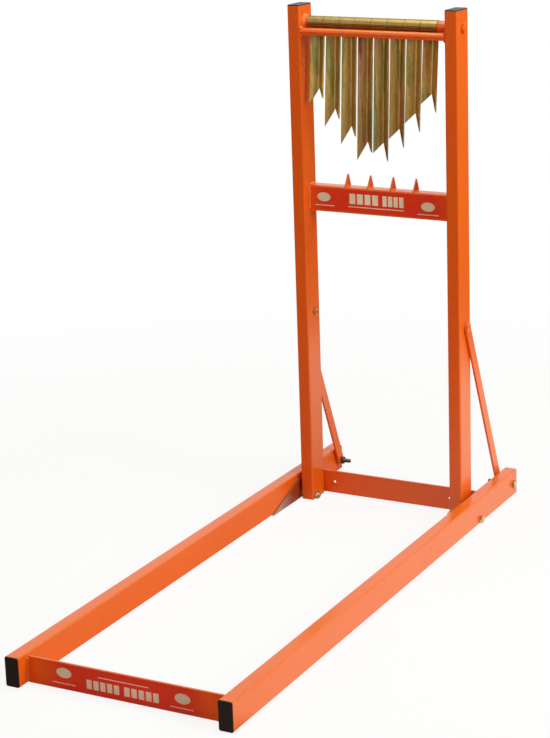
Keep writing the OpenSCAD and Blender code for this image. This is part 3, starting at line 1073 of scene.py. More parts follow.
@dataclass
class ToothRow:
    """Eight toothed grips that hang side by side from one axle.

    Each is a plate that is rolled into an eye above and bent to a right angle below,
    and its lower end is cut to a fork.

    Attributes:
        lengths: from the axle down to the notch, from the outer teeth inwards.
        plate: thickness.
        bore: of the eye.
        eye_width: of the eye along X.
        half_width: of the blade along X.
        fold_inner: radius inside the blade's fold.
        fold_behind: from the axle back to the outside of the fold.
        seam: gap that the rolled strip leaves at its end.
        short_point: reach of the fork's short point below the notch.
        long_point: the same of its long point.
        tuck: how far below the middle of the eye's wall the blade begins.
        eye_soft: rounding of the eye's edges.
        blade_soft: rounding of the blade's edges.
        least_soft: what remains of a rounding where a loop is drawn in.
        eye_points: points on each long side of the eye's loop.
        blade_points: the same of the blade's.
        blade_rows: loops down the blade.
        crowding: power of their even share; below 1 they lie closer further down.
    """

    lengths: tuple[float, ...] = (0.120, 0.157, 0.188, 0.216)
    plate: float = 3 * MM
    bore: float = 19.16 * MM
    eye_width: float = 32.275 * MM
    half_width: float = 15.6375 * MM
    fold_inner: float = 3 * MM
    fold_behind: float = 15 * MM
    seam: float = 1 * MM
    short_point: float = 20 * MM
    long_point: float = 35.5 * MM
    tuck: float = 0.4 * MM
    eye_soft: float = 0.45 * MM
    blade_soft: float = 0.5 * MM
    least_soft: float = 0.05 * MM
    eye_points: int = 72
    blade_points: int = 41
    blade_rows: int = 26
    crowding: float = 0.8

    def strip_loop(self, length: float, cut: float, soft: float, along: int) -> np.ndarray:
        """Loop round the section of a strip of the plate: a long thin rectangle with
        round corners. Its two long sides are evenly divided, so that it can be bent.

        Args:
            length: of the strip.
            cut: how far the loop is drawn in on all sides.
            soft: radius of the corners before that.
            along: points on each long side.

        Returns:
            Points of shape (2 * along + 16, 2): place along the strip, and distance
            from its middle layer.
        """
        radius = max(soft - cut, self.least_soft)
        a, b = length / 2 - cut, self.plate / 2 - cut
        turn = np.linspace(0, math.pi / 2, 5)[1:-1]
        side = np.linspace(-1, 1, along) * (a - radius)
        high = np.full(along, b)
        c, d = a - radius, b - radius
        cos, sin = radius * np.cos(turn), radius * np.sin(turn)
        parts = [
            np.stack([side, -high], -1),
            np.stack([c + sin, -d - cos], -1),
            np.array([[a, -d], [a, d]]),
            np.stack([c + cos, d + sin], -1),
            np.stack([side[::-1], high], -1),
            np.stack([-c - sin, d + cos], -1),
            np.array([[-a, d], [-a, -d]]),
            np.stack([-c - cos, -d - sin], -1),
        ]
        return np.concatenate(parts)

    @staticmethod
    def closed_strip(rows: list[np.ndarray]) -> list[Patch]:
        """The surface through a strip's loops, and the faces that close the first and
        the last loop: each point of a loop's one long side is joined to the point
        across.

        Args:
            rows: the loops in order, each symmetric about its middle.

        Returns:
            Three patches.
        """
        patches = [Patch(np.stack(rows), wrap_columns=True)]
        for loop in (rows[0], rows[-1]):
            half = len(loop) // 2
            ring = loop[np.roll(np.arange(len(loop)), 4)]
            patches.append(Patch(np.stack([ring[:half], ring[half:][::-1]])))
        return patches

    def eye(self, centre: float) -> list[Patch]:
        """The rolled eye: a rounded rectangle, as long as the strip and as thick as
        the plate, is laid round the axle, so that its length turns into an angle and
        its thickness into a radius. It is carried along X, and drawn in at both ends.

        Args:
            centre: middle of the eye along X.

        Returns:
            Patches that together are closed.
        """
        middle = (self.bore + self.plate) / 2
        start = math.pi + math.asin(self.seam / middle)
        sweep = 3 * math.pi - start
        half = self.eye_width / 2
        ease = np.linspace(0, math.pi / 2, 4)
        in_x, cut = self.eye_soft * (1 - np.cos(ease)), self.eye_soft * (1 - np.sin(ease))
        cuts = np.concatenate([cut, np.zeros(3), cut[::-1]])
        x = np.concatenate([in_x - half, [-half / 3, 0, half / 3], half - in_x[::-1]])
        rows = []
        for place, drawn_in in zip(x.tolist(), cuts.tolist()):
            loop = self.strip_loop(sweep * middle, drawn_in, self.eye_soft, self.eye_points)
            turn = start + sweep / 2 + loop[:, 0] / middle
            radius = middle + loop[:, 1]
            y, z = AXLE[0] + radius * np.cos(turn), AXLE[1] + radius * np.sin(turn)
            rows.append(np.stack([np.full_like(y, centre + place), y, z], -1))
        return self.closed_strip(rows)

    def blade(self, centre: float, side: int, length: float) -> list[Patch]:
        """The blade: its strip is bent to a right angle with a round fold behind, and
        carried down. Its top follows the middle of the eye's wall, a circle in Y and Z.
        A point of the strip goes down to the fork's edge, which lies lower the further
        the point is from the fold along X.

        Args:
            centre: middle of the tooth along X.
            side: -1 or 1, where the long point of the fork is.
            length: from the axle down to the notch.

        Returns:
            Patches that together are closed.
        """
        middle = self.fold_inner + self.plate / 2
        fold_y = self.fold_behind - self.fold_inner - self.plate
        leg = self.half_width * DIAGONAL - self.fold_inner - self.plate
        arc = middle * math.pi / 4
        wall = (self.bore + self.plate) / 2
        count, soft = self.blade_rows, self.blade_soft
        ease = np.linspace(0, math.pi / 2, 5)
        down = np.concatenate([np.linspace(0, 1, count) ** self.crowding, np.ones(5)])
        cuts = np.concatenate([np.zeros(count), soft * (1 - np.cos(ease))])
        lift = np.concatenate([np.full(count, soft), soft * (1 - np.sin(ease))])
        rows = []
        for share, drawn_in, up in zip(down.tolist(), cuts.tolist(), lift.tolist()):
            loop = self.strip_loop(2 * (leg + arc), drawn_in, soft, self.blade_points)
            s, depth = loop[:, 0], loop[:, 1]
            bend = np.clip(s / arc, -1, 1) * math.pi / 4
            beyond = s - np.clip(s, -arc, arc)
            radius = middle + depth
            x = radius * np.sin(bend) + beyond / DIAGONAL
            y = fold_y + radius * np.cos(bend) - np.abs(beyond) / DIAGONAL
            point = np.where(x * side > 0, self.long_point, self.short_point)
            low = -length - point * np.abs(x) / self.half_width
            top = -self.tuck - np.sqrt(np.maximum(wall**2 - y**2, 0))
            z = top + share * (low + up - top)
            rows.append(np.stack([centre + x, AXLE[0] + y, AXLE[1] + z], -1))
        return self.closed_strip(rows)

    def lean(self, patch: Patch, length: float) -> Patch:
        """Turns a patch about the axle to where its tooth hangs at rest: the blade
        lies behind the axle, so it leans forward until its middle is below the axle.
        The angle's tangent is the blade's middle behind the axle over its middle
        below the axle.

        Args:
            patch: a patch of the tooth before it leans; it is changed.
            length: from the axle down to the notch.

        Returns:
            The same patch.
        """
        outer = self.fold_inner + self.plate
        deep = outer + (self.half_width * DIAGONAL - outer - self.fold_inner) / DIAGONAL
        below = (length + (self.short_point + self.long_point) / 4) / 2
        angle = math.atan((self.fold_behind - deep / 2) / below)
        y, z = patch.points[..., 1] - AXLE[0], patch.points[..., 2] - AXLE[1]
        patch.points[..., 1] = AXLE[0] + y * math.cos(angle) + z * math.sin(angle)
        patch.points[..., 2] = AXLE[1] + z * math.cos(angle) - y * math.sin(angle)
        return patch

    def build(self, finishes: Finishes) -> None:
        """Makes the eight teeth, each on its own body.

        Args:
            finishes: the materials.
        """
        count = 2 * len(self.lengths)
        for number in range(1, count + 1):
            side = -1 if number <= count / 2 else 1
            length = self.lengths[number - 1 if side < 0 else count - number]
            centre = ROW_START + (number - 0.5) * ROW_PITCH
            patches = [self.lean(p, length) for p in self.eye(centre) + self.blade(centre, side, length)]
            piece = make_piece(f"toothed_grip_{number}", patches)
            node = f"tooth_{number}"
            settle(piece, node, finishes.teeth, Slot.TEETH, node)


# a hexagon's end face and the depth of its chamfer, as shares of its width
HEX_FACE = 0.475
HEX_CHAMFER = 0.062


def hex_radius(width: float) -> np.ndarray:
    """Radius of a hexagon at each angle: half the width across the flats, over the
    cosine of the angle from the middle of the nearest flat. A flat lies above.

    Args:
        width: across the flats.

    Returns:
        A row of HEX_STEPS radii, shape (1, HEX_STEPS).
    """
    turn = np.linspace(0, 2 * math.pi, HEX_STEPS, endpoint=False)
    return width / 2 / np.cos((turn + math.pi / 6) % (math.pi / 3) - math.pi / 6)[None]


def circles(radii: list[float] | np.ndarray) -> np.ndarray:
    """Each radius repeated round the circle, shape (rows, HEX_STEPS)."""
    return np.repeat(np.asarray(radii, float)[:, None], HEX_STEPS, 1)


def hex_chamfer(width: float, rows: int) -> tuple[np.ndarray, np.ndarray]:
    """Chamfered end of a hexagon: the radius is the lesser of the hexagon's and of a
    cone's, which widens by the cotangent of 30 degrees.

    Args:
        width: across the flats.
        rows: loops down the chamfer.

    Returns:
        Depths below the end, and radii of shape (rows, HEX_STEPS).
    """
    drop = np.linspace(0, HEX_CHAMFER * width, rows)
    cone = HEX_FACE * width + drop[:, None] / math.tan(math.radians(30))
    return drop, np.minimum(cone, hex_radius(width))


def hex_profile(rows: np.ndarray, radii: np.ndarray) -> np.ndarray:
    """Profile for revolve whose radius changes round the circle."""
    return np.stack([np.repeat(rows[:, None], HEX_STEPS, 1), radii], -1)


class Head(Enum):
    """Forms of bolt head."""

    HEXAGON = "hexagon"
    DOME = "dome"


@dataclass(frozen=True)
class Bolt:
    """A bolt along X, one on each side of the frame.

    Attributes:
        node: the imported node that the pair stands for.
        place: Y and Z of its centre line.
        head: form of the head.
        width: across flats, or across the dome.
        height: of the head.
        diameter: of the shank.
        end: distance from the middle plane to the shank's end.
        thread: length of the visible thread.
        lead: pitch of the thread.
        depth: of the thread, as a share of its pitch.
        point: length of the plain point past the thread.
    """

    node: str
    place: Pair
    head: Head
    width: float
    height: float
    diameter: float
    end: float
    thread: float
    lead: float = 1.25 * MM
    depth: float = 0.558
    point: float = 0.9 * MM

    @property
    def seat(self) -> float:
        """Distance from the middle plane to the head's seat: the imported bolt's outer
        end less the head's height, to the micrometre."""
        return to_micrometre(extent(self.node)[0][1] - self.height)

    def hexagon_rows(self) -> tuple[np.ndarray, np.ndarray]:
        """Rows from the middle of a hexagon head's dished top down to its seat, where
        a round face stands proud of the hexagon.

        Returns:
            Heights above the seat, and radii of shape (rows, HEX_STEPS).
        """
        flat, face = HEX_FACE * self.width, 0.35 * MM
        drop, cone = hex_chamfer(self.width, 8)
        dish = np.array([-0.12, -0.12, 0.0]) * MM
        high = np.concatenate([self.height + dish, self.height - drop, [face, face, 0]])
        middle = circles([0.0, 0.5 * flat, 0.93 * flat])
        return high, np.concatenate([middle, cone, hex_radius(self.width), circles([flat, flat])])

    def dome_rows(self) -> tuple[np.ndarray, np.ndarray]:
        """Rows from the middle of a dome's top down to its seat: a circle through the
        dome's rim and its top, above a short upright rim.

        Returns:
            Heights above the seat, and radii of shape (rows, HEX_STEPS).
        """
        rim, half = 1 * MM, self.width / 2
        rise = self.height - rim
        ball = (half**2 + rise**2) / (2 * rise)
        turn = np.linspace(0, math.asin(half / ball), 12)
        high = np.concatenate([self.height - ball + ball * np.cos(turn), [0.6 * rim, 0.2 * rim, 0]])
        return high, circles(np.concatenate([ball * np.sin(turn), [half, 0.995 * half, 0.97 * half]]))

    def surface(self, side: int) -> Patch:
        """The whole bolt as one surface of revolution. On the thread the radius
        falls below the shank's by a triangle wave of the height and the angle.

        Args:
            side: -1 for the left bolt, 1 for the right one.

        Returns:
            A closed patch.
        """
        high, radius = self.hexagon_rows() if self.head is Head.HEXAGON else self.dome_rows()
        shank, rows_per_turn = self.diameter / 2, 7
        low = self.end - self.seat
        top, bottom = low + self.thread, low + self.point
        angle = np.linspace(0, 1, HEX_STEPS, endpoint=False)[None]
        run = np.arange(top, bottom, -self.lead / rows_per_turn)[:, None]
        wave = np.abs(2 * ((run / self.lead - side * angle) % 1) - 1)
        start = np.clip((top - run) / self.lead, 0, 1)
        groove = shank - start * self.depth * self.lead * (1 - wave)
        rows = np.concatenate([high, [0.0, top], run[:, 0], [bottom, low, low]])
        ends = circles([0.93 * shank, 0.80 * shank, 0.0])
        profile = hex_profile(rows, np.concatenate([radius, circles([shank, shank]), groove, ends]))
        return revolve(profile, np.array([side * self.seat, *self.place]), (side, 0, 0), HEX_STEPS)


@dataclass(frozen=True)
class Nut:
    """A hexagon nut on each side, its seat away from the middle plane.

    Attributes:
        node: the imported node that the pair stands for.
        place: Y and Z of its centre line.
        width: across the flats.
        height: along X.
        bore: between the crests of its thread.
        sink: width and depth of the countersink.
    """

    node: str
    place: Pair
    width: float = 13 * MM
    height: float = 6.5 * MM
    bore: float = 7.6 * MM
    sink: float = 0.6 * MM

    @property
    def seat(self) -> float:
        """Distance from the middle plane to the seat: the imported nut's outer end."""
        return extent(self.node)[0][1]

    def surface(self, side: int) -> Patch:
        """The nut as a closed ring: hexagon cut by a chamfer cone at both ends, and
        a countersunk bore.

        Args:
            side: -1 for the left nut, 1 for the right one.

        Returns:
            A patch that wraps both ways.
        """
        drop, cone = hex_chamfer(self.width, 6)
        wide, hole = circles([self.bore / 2 + self.sink]), circles([self.bore / 2])
        radii = np.concatenate([hole, wide, cone, cone[::-1], wide, hole])
        top = self.height
        rows = np.concatenate([[self.sink, 0], drop, top - drop[::-1], [top, top - self.sink]])
        centre = np.array([side * self.seat, *self.place])
        patch = revolve(hex_profile(rows, radii), centre, (-side, 0, 0), HEX_STEPS)
        patch.wrap_rows = True
        return patch


@dataclass(frozen=True)
class Ring:
    """A washer, spacer, bush or collar along X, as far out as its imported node.

    Attributes:
        node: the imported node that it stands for.
        length: along X.
        place: Y and Z of its centre line.
        diameter: outside.
        bore: inside.
        soft: rounding of its edges, less where the ring is thin.
        most_soft: the most that the rounding may take of the ring's section.
    """

    node: str
    length: float
    place: Pair
    diameter: float
    bore: float
    soft: float = 0.3 * MM
    most_soft: float = 0.4

    @property
    def outer_end(self) -> float:
        """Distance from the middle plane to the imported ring's outer end."""
        return max(abs(x) for x in extent(self.node)[0])

    def surface(self, side: int) -> Patch:
        """A rounded rectangle that is turned round the axis.

        Args:
            side: -1 for the left ring, 1 for the right one.

        Returns:
            A patch that wraps both ways.
        """
        depth = (self.diameter - self.bore) / 2
        soft = min(self.soft, self.most_soft * min(self.length, depth))
        loop = rounded_rect(self.length, depth, soft, 3)
        loop = loop + np.array([self.outer_end - self.length / 2, (self.diameter + self.bore) / 4])
        patch = revolve(loop, np.array([0, *self.place]), (side, 0, 0), TURNED_STEPS)
        patch.wrap_rows = True
        return patch


@dataclass
class Fasteners:
    """Small hardware of both sides.

    Attributes:
        bolts: with hexagon or domed heads.
        nuts: all of hexagon form.
        rings: bushes, spacers and washers.
    """

    bolts: tuple[Bolt, ...] = (
        Bolt("pivot_bolts", FOLD_AXIS, Head.HEXAGON, 13 * MM, 5.3 * MM, 8 * MM, 0.137, 11 * MM),
        Bolt("stay_foot_bolts", STAY_FOOT, Head.HEXAGON, 13 * MM, 5.3 * MM, 8 * MM, 0.1525, 20 * MM),
        Bolt("stay_top_bolts", STAY_TOP, Head.DOME, 18 * MM, 3.2 * MM, 8 * MM, 0.1372, 11 * MM),
        Bolt("axle_bolts", AXLE, Head.HEXAGON, 17 * MM, 6.4 * MM, 10 * MM, 0.126, 10 * MM, 1.5 * MM),
    )
    nuts: tuple[Nut, ...] = (
        Nut("pivot_nuts", FOLD_AXIS),
        Nut("stay_foot_nuts", STAY_FOOT),
        Nut("stay_top_nuts", STAY_TOP),
    )
    rings: tuple[Ring, ...] = (
        Ring("pivot_bushes", 5.3 * MM, FOLD_AXIS, 14 * MM, 8.2 * MM),
        Ring("stay_foot_spacers", 3.5 * MM, STAY_FOOT, 18 * MM, 8.2 * MM),
        Ring("stay_top_washers", 1.1 * MM, STAY_TOP, 18 * MM, 8.2 * MM, 0.2 * MM),
    )

    def build(self, model: Model, finishes: Finishes) -> None:
        """Makes each kind as one piece with a left and a right half. The bolts of the
        axle and of the stays' tops are painted over with the frame.

        Args:
            model: says which body carries each node.
            finishes: the materials.
        """
        special = {
            "axle_bolts": (finishes.paint, Slot.PAINT),
            "stay_top_bolts": (finishes.paint, Slot.PAINT),
            # the stay feet's bolts and nuts carry painted shade where they sit inside the frame
            "stay_foot_bolts": (finishes.inner_shaded, Slot.FASTENERS),
            "stay_foot_nuts": (finishes.inner_shaded, Slot.FASTENERS),
        }
        for kind in (*self.bolts, *self.nuts, *self.rings):
            piece = make_piece(f"{kind.node}_detailed", [kind.surface(-1), kind.surface(1)])
            finish, slot = special.get(kind.node, (finishes.bolts, Slot.FASTENERS))
            settle(piece, model.body_of(kind.node), finish, slot, kind.node)


@dataclass
class AxleAndStop:
    """The axle of the teeth, its two collars and the bar that stops the teeth.

    Attributes:
        axle_diameter: of the axle.
        collar_bore: inside the collars.
        collar_soft: rounding of their edges.
        collars: node, side and length of each.
        wander: how far a drawn bar's radius strays.
        waves: angle in radians that its wave turns through in a metre.
        rows: loops along a bar.
    """

    axle_diameter: float = 19 * MM
    collar_bore: float = 19.2 * MM
    collar_soft: float = 1.0 * MM
    collars: tuple[tuple[str, int, float], ...] = (
        ("axle_collar_left", -1, 8.1 * MM),
        ("axle_collar_right", 1, 20.9 * MM),
    )
    wander: float = 0.03 * MM
    waves: float = 91.0
    rows: int = 60

    def rod(self, diameter: float, place: Pair) -> Patch:
        """A drawn bar along X between the posts: its radius is constant but for a
        slow sine wave of a few hundredths of a millimetre.

        Args:
            diameter: of the bar.
            place: Y and Z of its centre line.

        Returns:
            A closed patch.
        """
        x = np.linspace(-POST_INNER, POST_INNER, self.rows)
        wave = self.wander * np.sin(x * self.waves)
        wave[0], wave[-1] = 0, 0
        profile = np.stack([np.pad(x, 1, "edge"), np.pad(diameter / 2 + wave, 1)], -1)
        return revolve(profile, np.array([0, *place]), (1, 0, 0), TURNED_STEPS)

    def build(self, finishes: Finishes) -> None:
        """Makes the two bars and the two collars.

        Args:
            finishes: the materials.
        """
        pieces = [
            ("stop_bar", "drawn", self.rod(STOP_DIAMETER, STOP)),
            ("tooth_axle", "drawn", self.rod(self.axle_diameter, AXLE)),
        ]
        for node, side, length in self.collars:
            ring = Ring(node, length, AXLE, COLLAR_DIAMETER, self.collar_bore, self.collar_soft)
            pieces.append((node, "turned", ring.surface(side)))
        for node, how, patch in pieces:
            piece = make_piece(f"{node}_{how}", [patch])
            settle(piece, Body.UPRIGHT.value, finishes.paint, Slot.PAINT, node)


@dataclass
class WeldBeads:
    """Fillet welds between tubes, bars and plates, under the paint.

    Attributes:
        frame_leg: reach of the beads of the floor frame.
        plate_leg: of the plates inside the rails.
        tube_leg: of the cross tube.
        collar_leg: of the axle's collars.
        rod_leg: of the stop bar.
        fin_leg: of the spikes.
        least_leg: what a bead keeps where it has no room.
        spacing: between the points of a path.
        bars: nodes of the bars between the rails.
        bar_inset: how far their beads stop short of their edges.
        plate_slope: reach of the plates' sloping edge along Y.
        plate_inset: how far the level edge's bead stops short of the plates' rear end.
        plate_skip: share of the sloping edge that has no bead, at the front.
        upright_inset: how far the cross tube's upright beads stop short of its edges.
        level_inset: the same of its level beads.
        fin_count: number of spikes.
        fin_half: half their thickness.
        fin_insets: how far their beads stop short of their front and rear edge.
    """

    frame_leg: float = 3.2 * MM
    plate_leg: float = 2.2 * MM
    tube_leg: float = 3.0 * MM
    collar_leg: float = 4.2 * MM
    rod_leg: float = 3.6 * MM
    fin_leg: float = 1.7 * MM
    least_leg: float = 0.05 * MM
    spacing: float = 0.35 * MM
    bars: tuple[str, ...] = ("front_bar", "rear_bar")
    bar_inset: float = 1.5 * MM
    plate_slope: float = 110 * MM
    plate_inset: float = 6.5 * MM
    plate_skip: float = 0.03
    upright_inset: float = 2.3 * MM
    level_inset: float = 2.5 * MM
    fin_count: int = 4
    fin_half: float = 1.75 * MM
    fin_insets: Pair = (2.0 * MM, 1.7 * MM)

    def line(self, start: Triple, end: Triple, side_a: Triple, side_b: Triple, leg: float) -> Patch:
        """A bead along a straight corner from start to end."""
        return bead(straight(start, end, self.spacing), side_a, side_b, leg)

    def bar_ends(self) -> list[Patch]:
        """Upright beads at both ends of each bar between the rails, on both its faces.

        Returns:
            Eight open beads.
        """
        beads = []
        for bar in self.bars:
            _, faces, (bottom, top) = extent(bar)
            low, high = to_micrometre(bottom + self.bar_inset), to_micrometre(top - self.bar_inset)
            for side in (-1, 1):
                x = side * RAIL_INNER
                for y, out in zip(faces, (-1, 1)):
                    start, end = (x, y, low), (x, y, high)
                    beads.append(self.line(start, end, (0, out, 0), (-side, 0, 0), self.frame_leg))
        return beads

    def plate_tops(self) -> list[Patch]:
        """Beads along the sloping and the level upper edge of the plates. The first
        lies square to the slope: its direction is the slope's, turned a quarter.

        Returns:
            Two open beads for each plate.
        """
        _, (front, rear), (bottom, top) = extent("pivot_plate_right")
        tip, end = np.array([front, bottom]), np.array([rear - self.plate_inset, top])
        bend = np.array([front + self.plate_slope, top])
        slope = bend - tip
        first = tip + self.plate_skip * slope
        beads = []
        for side in (-1, 1):
            x, inwards = side * RAIL_INNER, (-side, 0, 0)
            square = (0, -slope[1], slope[0])
            beads.append(self.line((x, *first), (x, *bend), square, inwards, self.plate_leg))
            beads.append(self.line((x, *bend), (x, *end), (0, 0, 1), inwards, self.plate_leg))
        return beads

    def round_joint(self, place: Pair, radius: float, leg: float) -> list[Patch]:
        """Beads round a bar where it meets the posts: the path is a circle, one side
        of the bead lies along the circle's radius and the other along X. A bead ends
        at the plane of the posts' front faces: its leg is at most the distance to
        that plane over the cosine of the angle from the front, less the radius.

        Args:
            place: Y and Z of the bar's centre line.
            radius: of the bar.
            leg: reach of the bead.

        Returns:
            One closed bead for each post.
        """
        turn = np.linspace(0, 2 * math.pi, int(2 * math.pi * radius / self.spacing), endpoint=False)
        radial = np.stack([np.zeros_like(turn), np.cos(turn), np.sin(turn)], -1)
        nearly_square = 1e-3
        ahead = np.maximum(-radial[:, 1], nearly_square)
        front = extent("post_right")[1][0]
        legs = np.clip((place[0] - front) / ahead - radius, self.least_leg, leg)
        beads = []
        for side in (-1, 1):
            path = np.array([side * POST_INNER, *place]) + radius * radial
            beads.append(bead(path, radial, (-side, 0, 0), legs, closed=True))
        return beads

    def tube_joint(self) -> list[Patch]:
        """Beads round the cross tube where it meets the posts, one on each face.

        Returns:
            Four open beads for each post.
        """
        _, faces, levels = extent("cross_tube")
        y0, y1 = faces[0] + self.level_inset, faces[1] - self.level_inset
        z0, z1 = levels[0] + self.upright_inset, levels[1] - self.upright_inset
        beads = []
        for side in (-1, 1):
            x, inwards = side * POST_INNER, (-side, 0, 0)
            for y, out in zip(faces, (-1, 1)):
                beads.append(self.line((x, y, z0), (x, y, z1), (0, out, 0), inwards, self.tube_leg))
            for z, out in zip(levels, (-1, 1)):
                beads.append(self.line((x, y0, z), (x, y1, z), (0, 0, out), inwards, self.tube_leg))
        return beads

    def fin_feet(self) -> list[Patch]:
        """Beads along both sides of each spike's foot.

        Returns:
            Eight open beads.
        """
        beads = []
        (_, right), (front, rear), (foot, _) = extent("cross_spikes")
        outer = right - self.fin_half
        ends = (front + self.fin_insets[0], rear - self.fin_insets[1])
        for middle in np.linspace(-outer, outer, self.fin_count):
            for side in (-1, 1):
                x = middle + side * self.fin_half
                start, end = ((x, y, foot) for y in ends)
                beads.append(self.line(start, end, (side, 0, 0), (0, 0, 1), self.fin_leg))
        return beads

    def build(self, finishes: Finishes) -> None:
        """Makes the beads of the floor frame, of its plates and of the upright.

        Args:
            finishes: the materials.
        """
        high = self.round_joint(STOP, STOP_DIAMETER / 2, self.rod_leg)
        high += self.round_joint(AXLE, COLLAR_DIAMETER / 2, self.collar_leg)
        high += self.tube_joint() + self.fin_feet()
        for name, beads, body, finish in (
            ("floor_frame", self.bar_ends(), Body.BASE, finishes.paint),
            # the plates' beads take the dark coat: painted shade along the plates' upper edge
            ("pivot_plate", self.plate_tops(), Body.BASE, finishes.seam),
            ("upright", high, Body.UPRIGHT, finishes.paint),
        ):
            piece = make_piece(f"{name}_weld_beads", beads, SHARP_BEAD_DEG)
            settle(piece, body.value, finish, Slot.PAINT)


def bar_outline(x0: float, x1: float, z0: float, z1: float, radius: float) -> np.ndarray:
    """Rounded rectangle between two corners, in X and Z.

    Args:
        x0: left end.
        x1: right end.
        z0: lower edge.
        z1: upper edge.
        radius: of its corners, if there is room.

    Returns:
        Points of shape (n, 2).
    """
    most = 0.49 * min(z1 - z0, x1 - x0)
    loop = rounded_rect(x1 - x0, z1 - z0, min(radius, most), 4)
    return loop + np.array([(x0 + x1) / 2, (z0 + z1) / 2])


@dataclass(frozen=True)
class Label:
    """A red film with plain marks: two discs, each above a short line, and a row of
    blocks with a thin line beside it.

    Attributes:
        name: first part of its pieces' names.
        body: the body that it is stuck to.
        node: the bar or tube whose front face it covers.
        half: half the film's length.
        inset: from the face's lower and upper edge to the film's. Each z below is
            counted from the film's lower edge.
        discs: middle of each disc: x, z.
        lines: thin lines: x0, x1, z.
        blocks: the row of blocks: x0, x1, z0, z1, and where its gap lies as a share.
        count: blocks on each side of the gap.
        gap: half the gap in the row of blocks.
        block: where a block begins and ends in its step, as shares.
        block_soft: radius of a block's corners.
        line_half: half the height of a line.
        line_soft: radius of a line's corners.
        disc_half: half the width and half the height of a disc.
        film_soft: radius of the film's corners.
        film_thick: thickness of the film.
        ink_start: where the ink begins ahead of the face, a little inside the film.
        ink_thick: thickness of the ink.
    """

    name: str
    body: Body
    node: str
    half: float
    inset: float
    discs: tuple[Pair, ...]
    lines: tuple[Triple, ...]
    blocks: tuple[float, float, float, float, float]
    count: tuple[int, int]
    gap: float = 3 * MM
    block: Pair = (0.12, 0.88)
    block_soft: float = 0.8 * MM
    line_half: float = 0.7 * MM
    line_soft: float = 0.6 * MM
    disc_half: Pair = (14 * MM, 8.5 * MM)
    film_soft: float = 1 * MM
    film_thick: float = 0.10 * MM
    ink_start: float = 0.08 * MM
    ink_thick: float = 0.06 * MM

    @property
    def level(self) -> float:
        """Z of the film's lower edge."""
        return extent(self.node)[2][0] + self.inset

    def marks(self) -> list[np.ndarray]:
        """Outlines of the row of blocks and of the lines.

        Returns:
            One outline for each block and line.
        """
        x0, x1, z0, z1, share = self.blocks
        low, high = self.level + z0, self.level + z1
        middle = x0 + share * (x1 - x0)
        shapes = []
        for ends, count in zip(((x0, middle - self.gap), (middle + self.gap, x1)), self.count):
            start, step = ends[0], (ends[1] - ends[0]) / count
            for i in range(count):
                left, right = (start + (i + part) * step for part in self.block)
                shapes.append(bar_outline(left, right, low, high, self.block_soft))
        for left, right, z in self.lines:
            low, high = self.level + z - self.line_half, self.level + z + self.line_half
            shapes.append(bar_outline(left, right, low, high, self.line_soft))
        return shapes

    def ellipses(self) -> list[np.ndarray]:
        """Outlines of the discs: ellipses, wider than high.

        Returns:
            One outline for each disc.
        """
        turn = np.linspace(0, 2 * math.pi, 48, endpoint=False)
        ellipse = np.stack([np.cos(turn), np.sin(turn)], -1) * self.disc_half
        return [ellipse + (x, self.level + z) for x, z in self.discs]

    def build(self, finishes: Finishes) -> None:
        """Makes the film, the marks and the discs.

        Args:
            finishes: the materials.
        """
        _, (front, _), (_, top) = extent(self.node)
        ink_face = front - self.ink_start
        film = [bar_outline(-self.half, self.half, self.level, top - self.inset, self.film_soft)]
        for part, shapes, face, thick, finish in (
            ("film", film, front, self.film_thick, finishes.label),
            ("marks", self.marks(), ink_face, self.ink_thick, finishes.ink),
            ("discs", self.ellipses(), ink_face, self.ink_thick, finishes.disc),
        ):
            piece = flat_shapes(f"{self.name}_{part}", shapes, face, thick)
            settle(piece, self.body.value, finish, Slot.PAINT)


LABELS = (
    Label(
        "front_bar_label", Body.BASE, "front_bar", 0.170, 1.5 * MM,
        ((-0.112, 0.0265), (0.103, 0.0235)),
        ((-0.134, -0.091, 0.0085), (0.080, 0.122, 0.0075), (-0.049, 0.043, 0.0305)),
        (-0.072, 0.062, 0.0081, 0.0235, 0.49), (5, 5),
    ),
    Label(
        "cross_tube_label", Body.UPRIGHT, "cross_tube", 0.141, 4 * MM,
        ((-0.115, 0.0245), (0.1005, 0.0205)),
        ((-0.134, -0.093, 0.0085), (0.079, 0.122, 0.0055), (-0.064, 0.051, 0.0095)),
        (-0.063, 0.052, 0.015, 0.0345, 0.575), (4, 4),
    ),
)


# studio


def set_up(name: str, data: bpy.types.ID, axes: list[np.ndarray], place: Triple) -> bpy.types.Object:
    """Puts a lamp or a camera into the scene.

    Args:
        name: name of the object.
        data: the lamp or the camera.
        axes: its own right, up and backward directions.
        place: where it stands.

    Returns:
        The object.
    """
    matrix = np.eye(4)
    matrix[:3] = np.stack([*axes, place], -1)
    thing = bpy.data.objects.new(name, data)
    thing.matrix_world = Matrix(matrix.tolist())
    bpy.context.scene.collection.objects.link(thing)
    return thing


@dataclass(frozen=True)
class Lamp:
    """A square soft lamp that points at the middle of the object.

    Attributes:
        name: name of the lamp.
        place: where it hangs.
        size: edge of its square.
        watts: its power.
        colour: of its light.
        target: the middle of the object.
    """

    name: str
    place: Triple
    size: float
    watts: float
    colour: Colour
    target: Triple = (0.0, 0.0, 0.45)

    def build(self) -> None:
        """Hangs the lamp: its back points away from the target, one side level."""
        data = bpy.data.lights.new(self.name, "AREA")
        data.shape, data.size, data.energy, data.color = "SQUARE", self.size, self.watts, self.colour
        away = unit(np.array(self.place) - np.array(self.target))
        side = unit(np.cross([0, 0, 1.0], away))
        set_up(self.name, data, [side, np.cross(away, side), away], self.place)


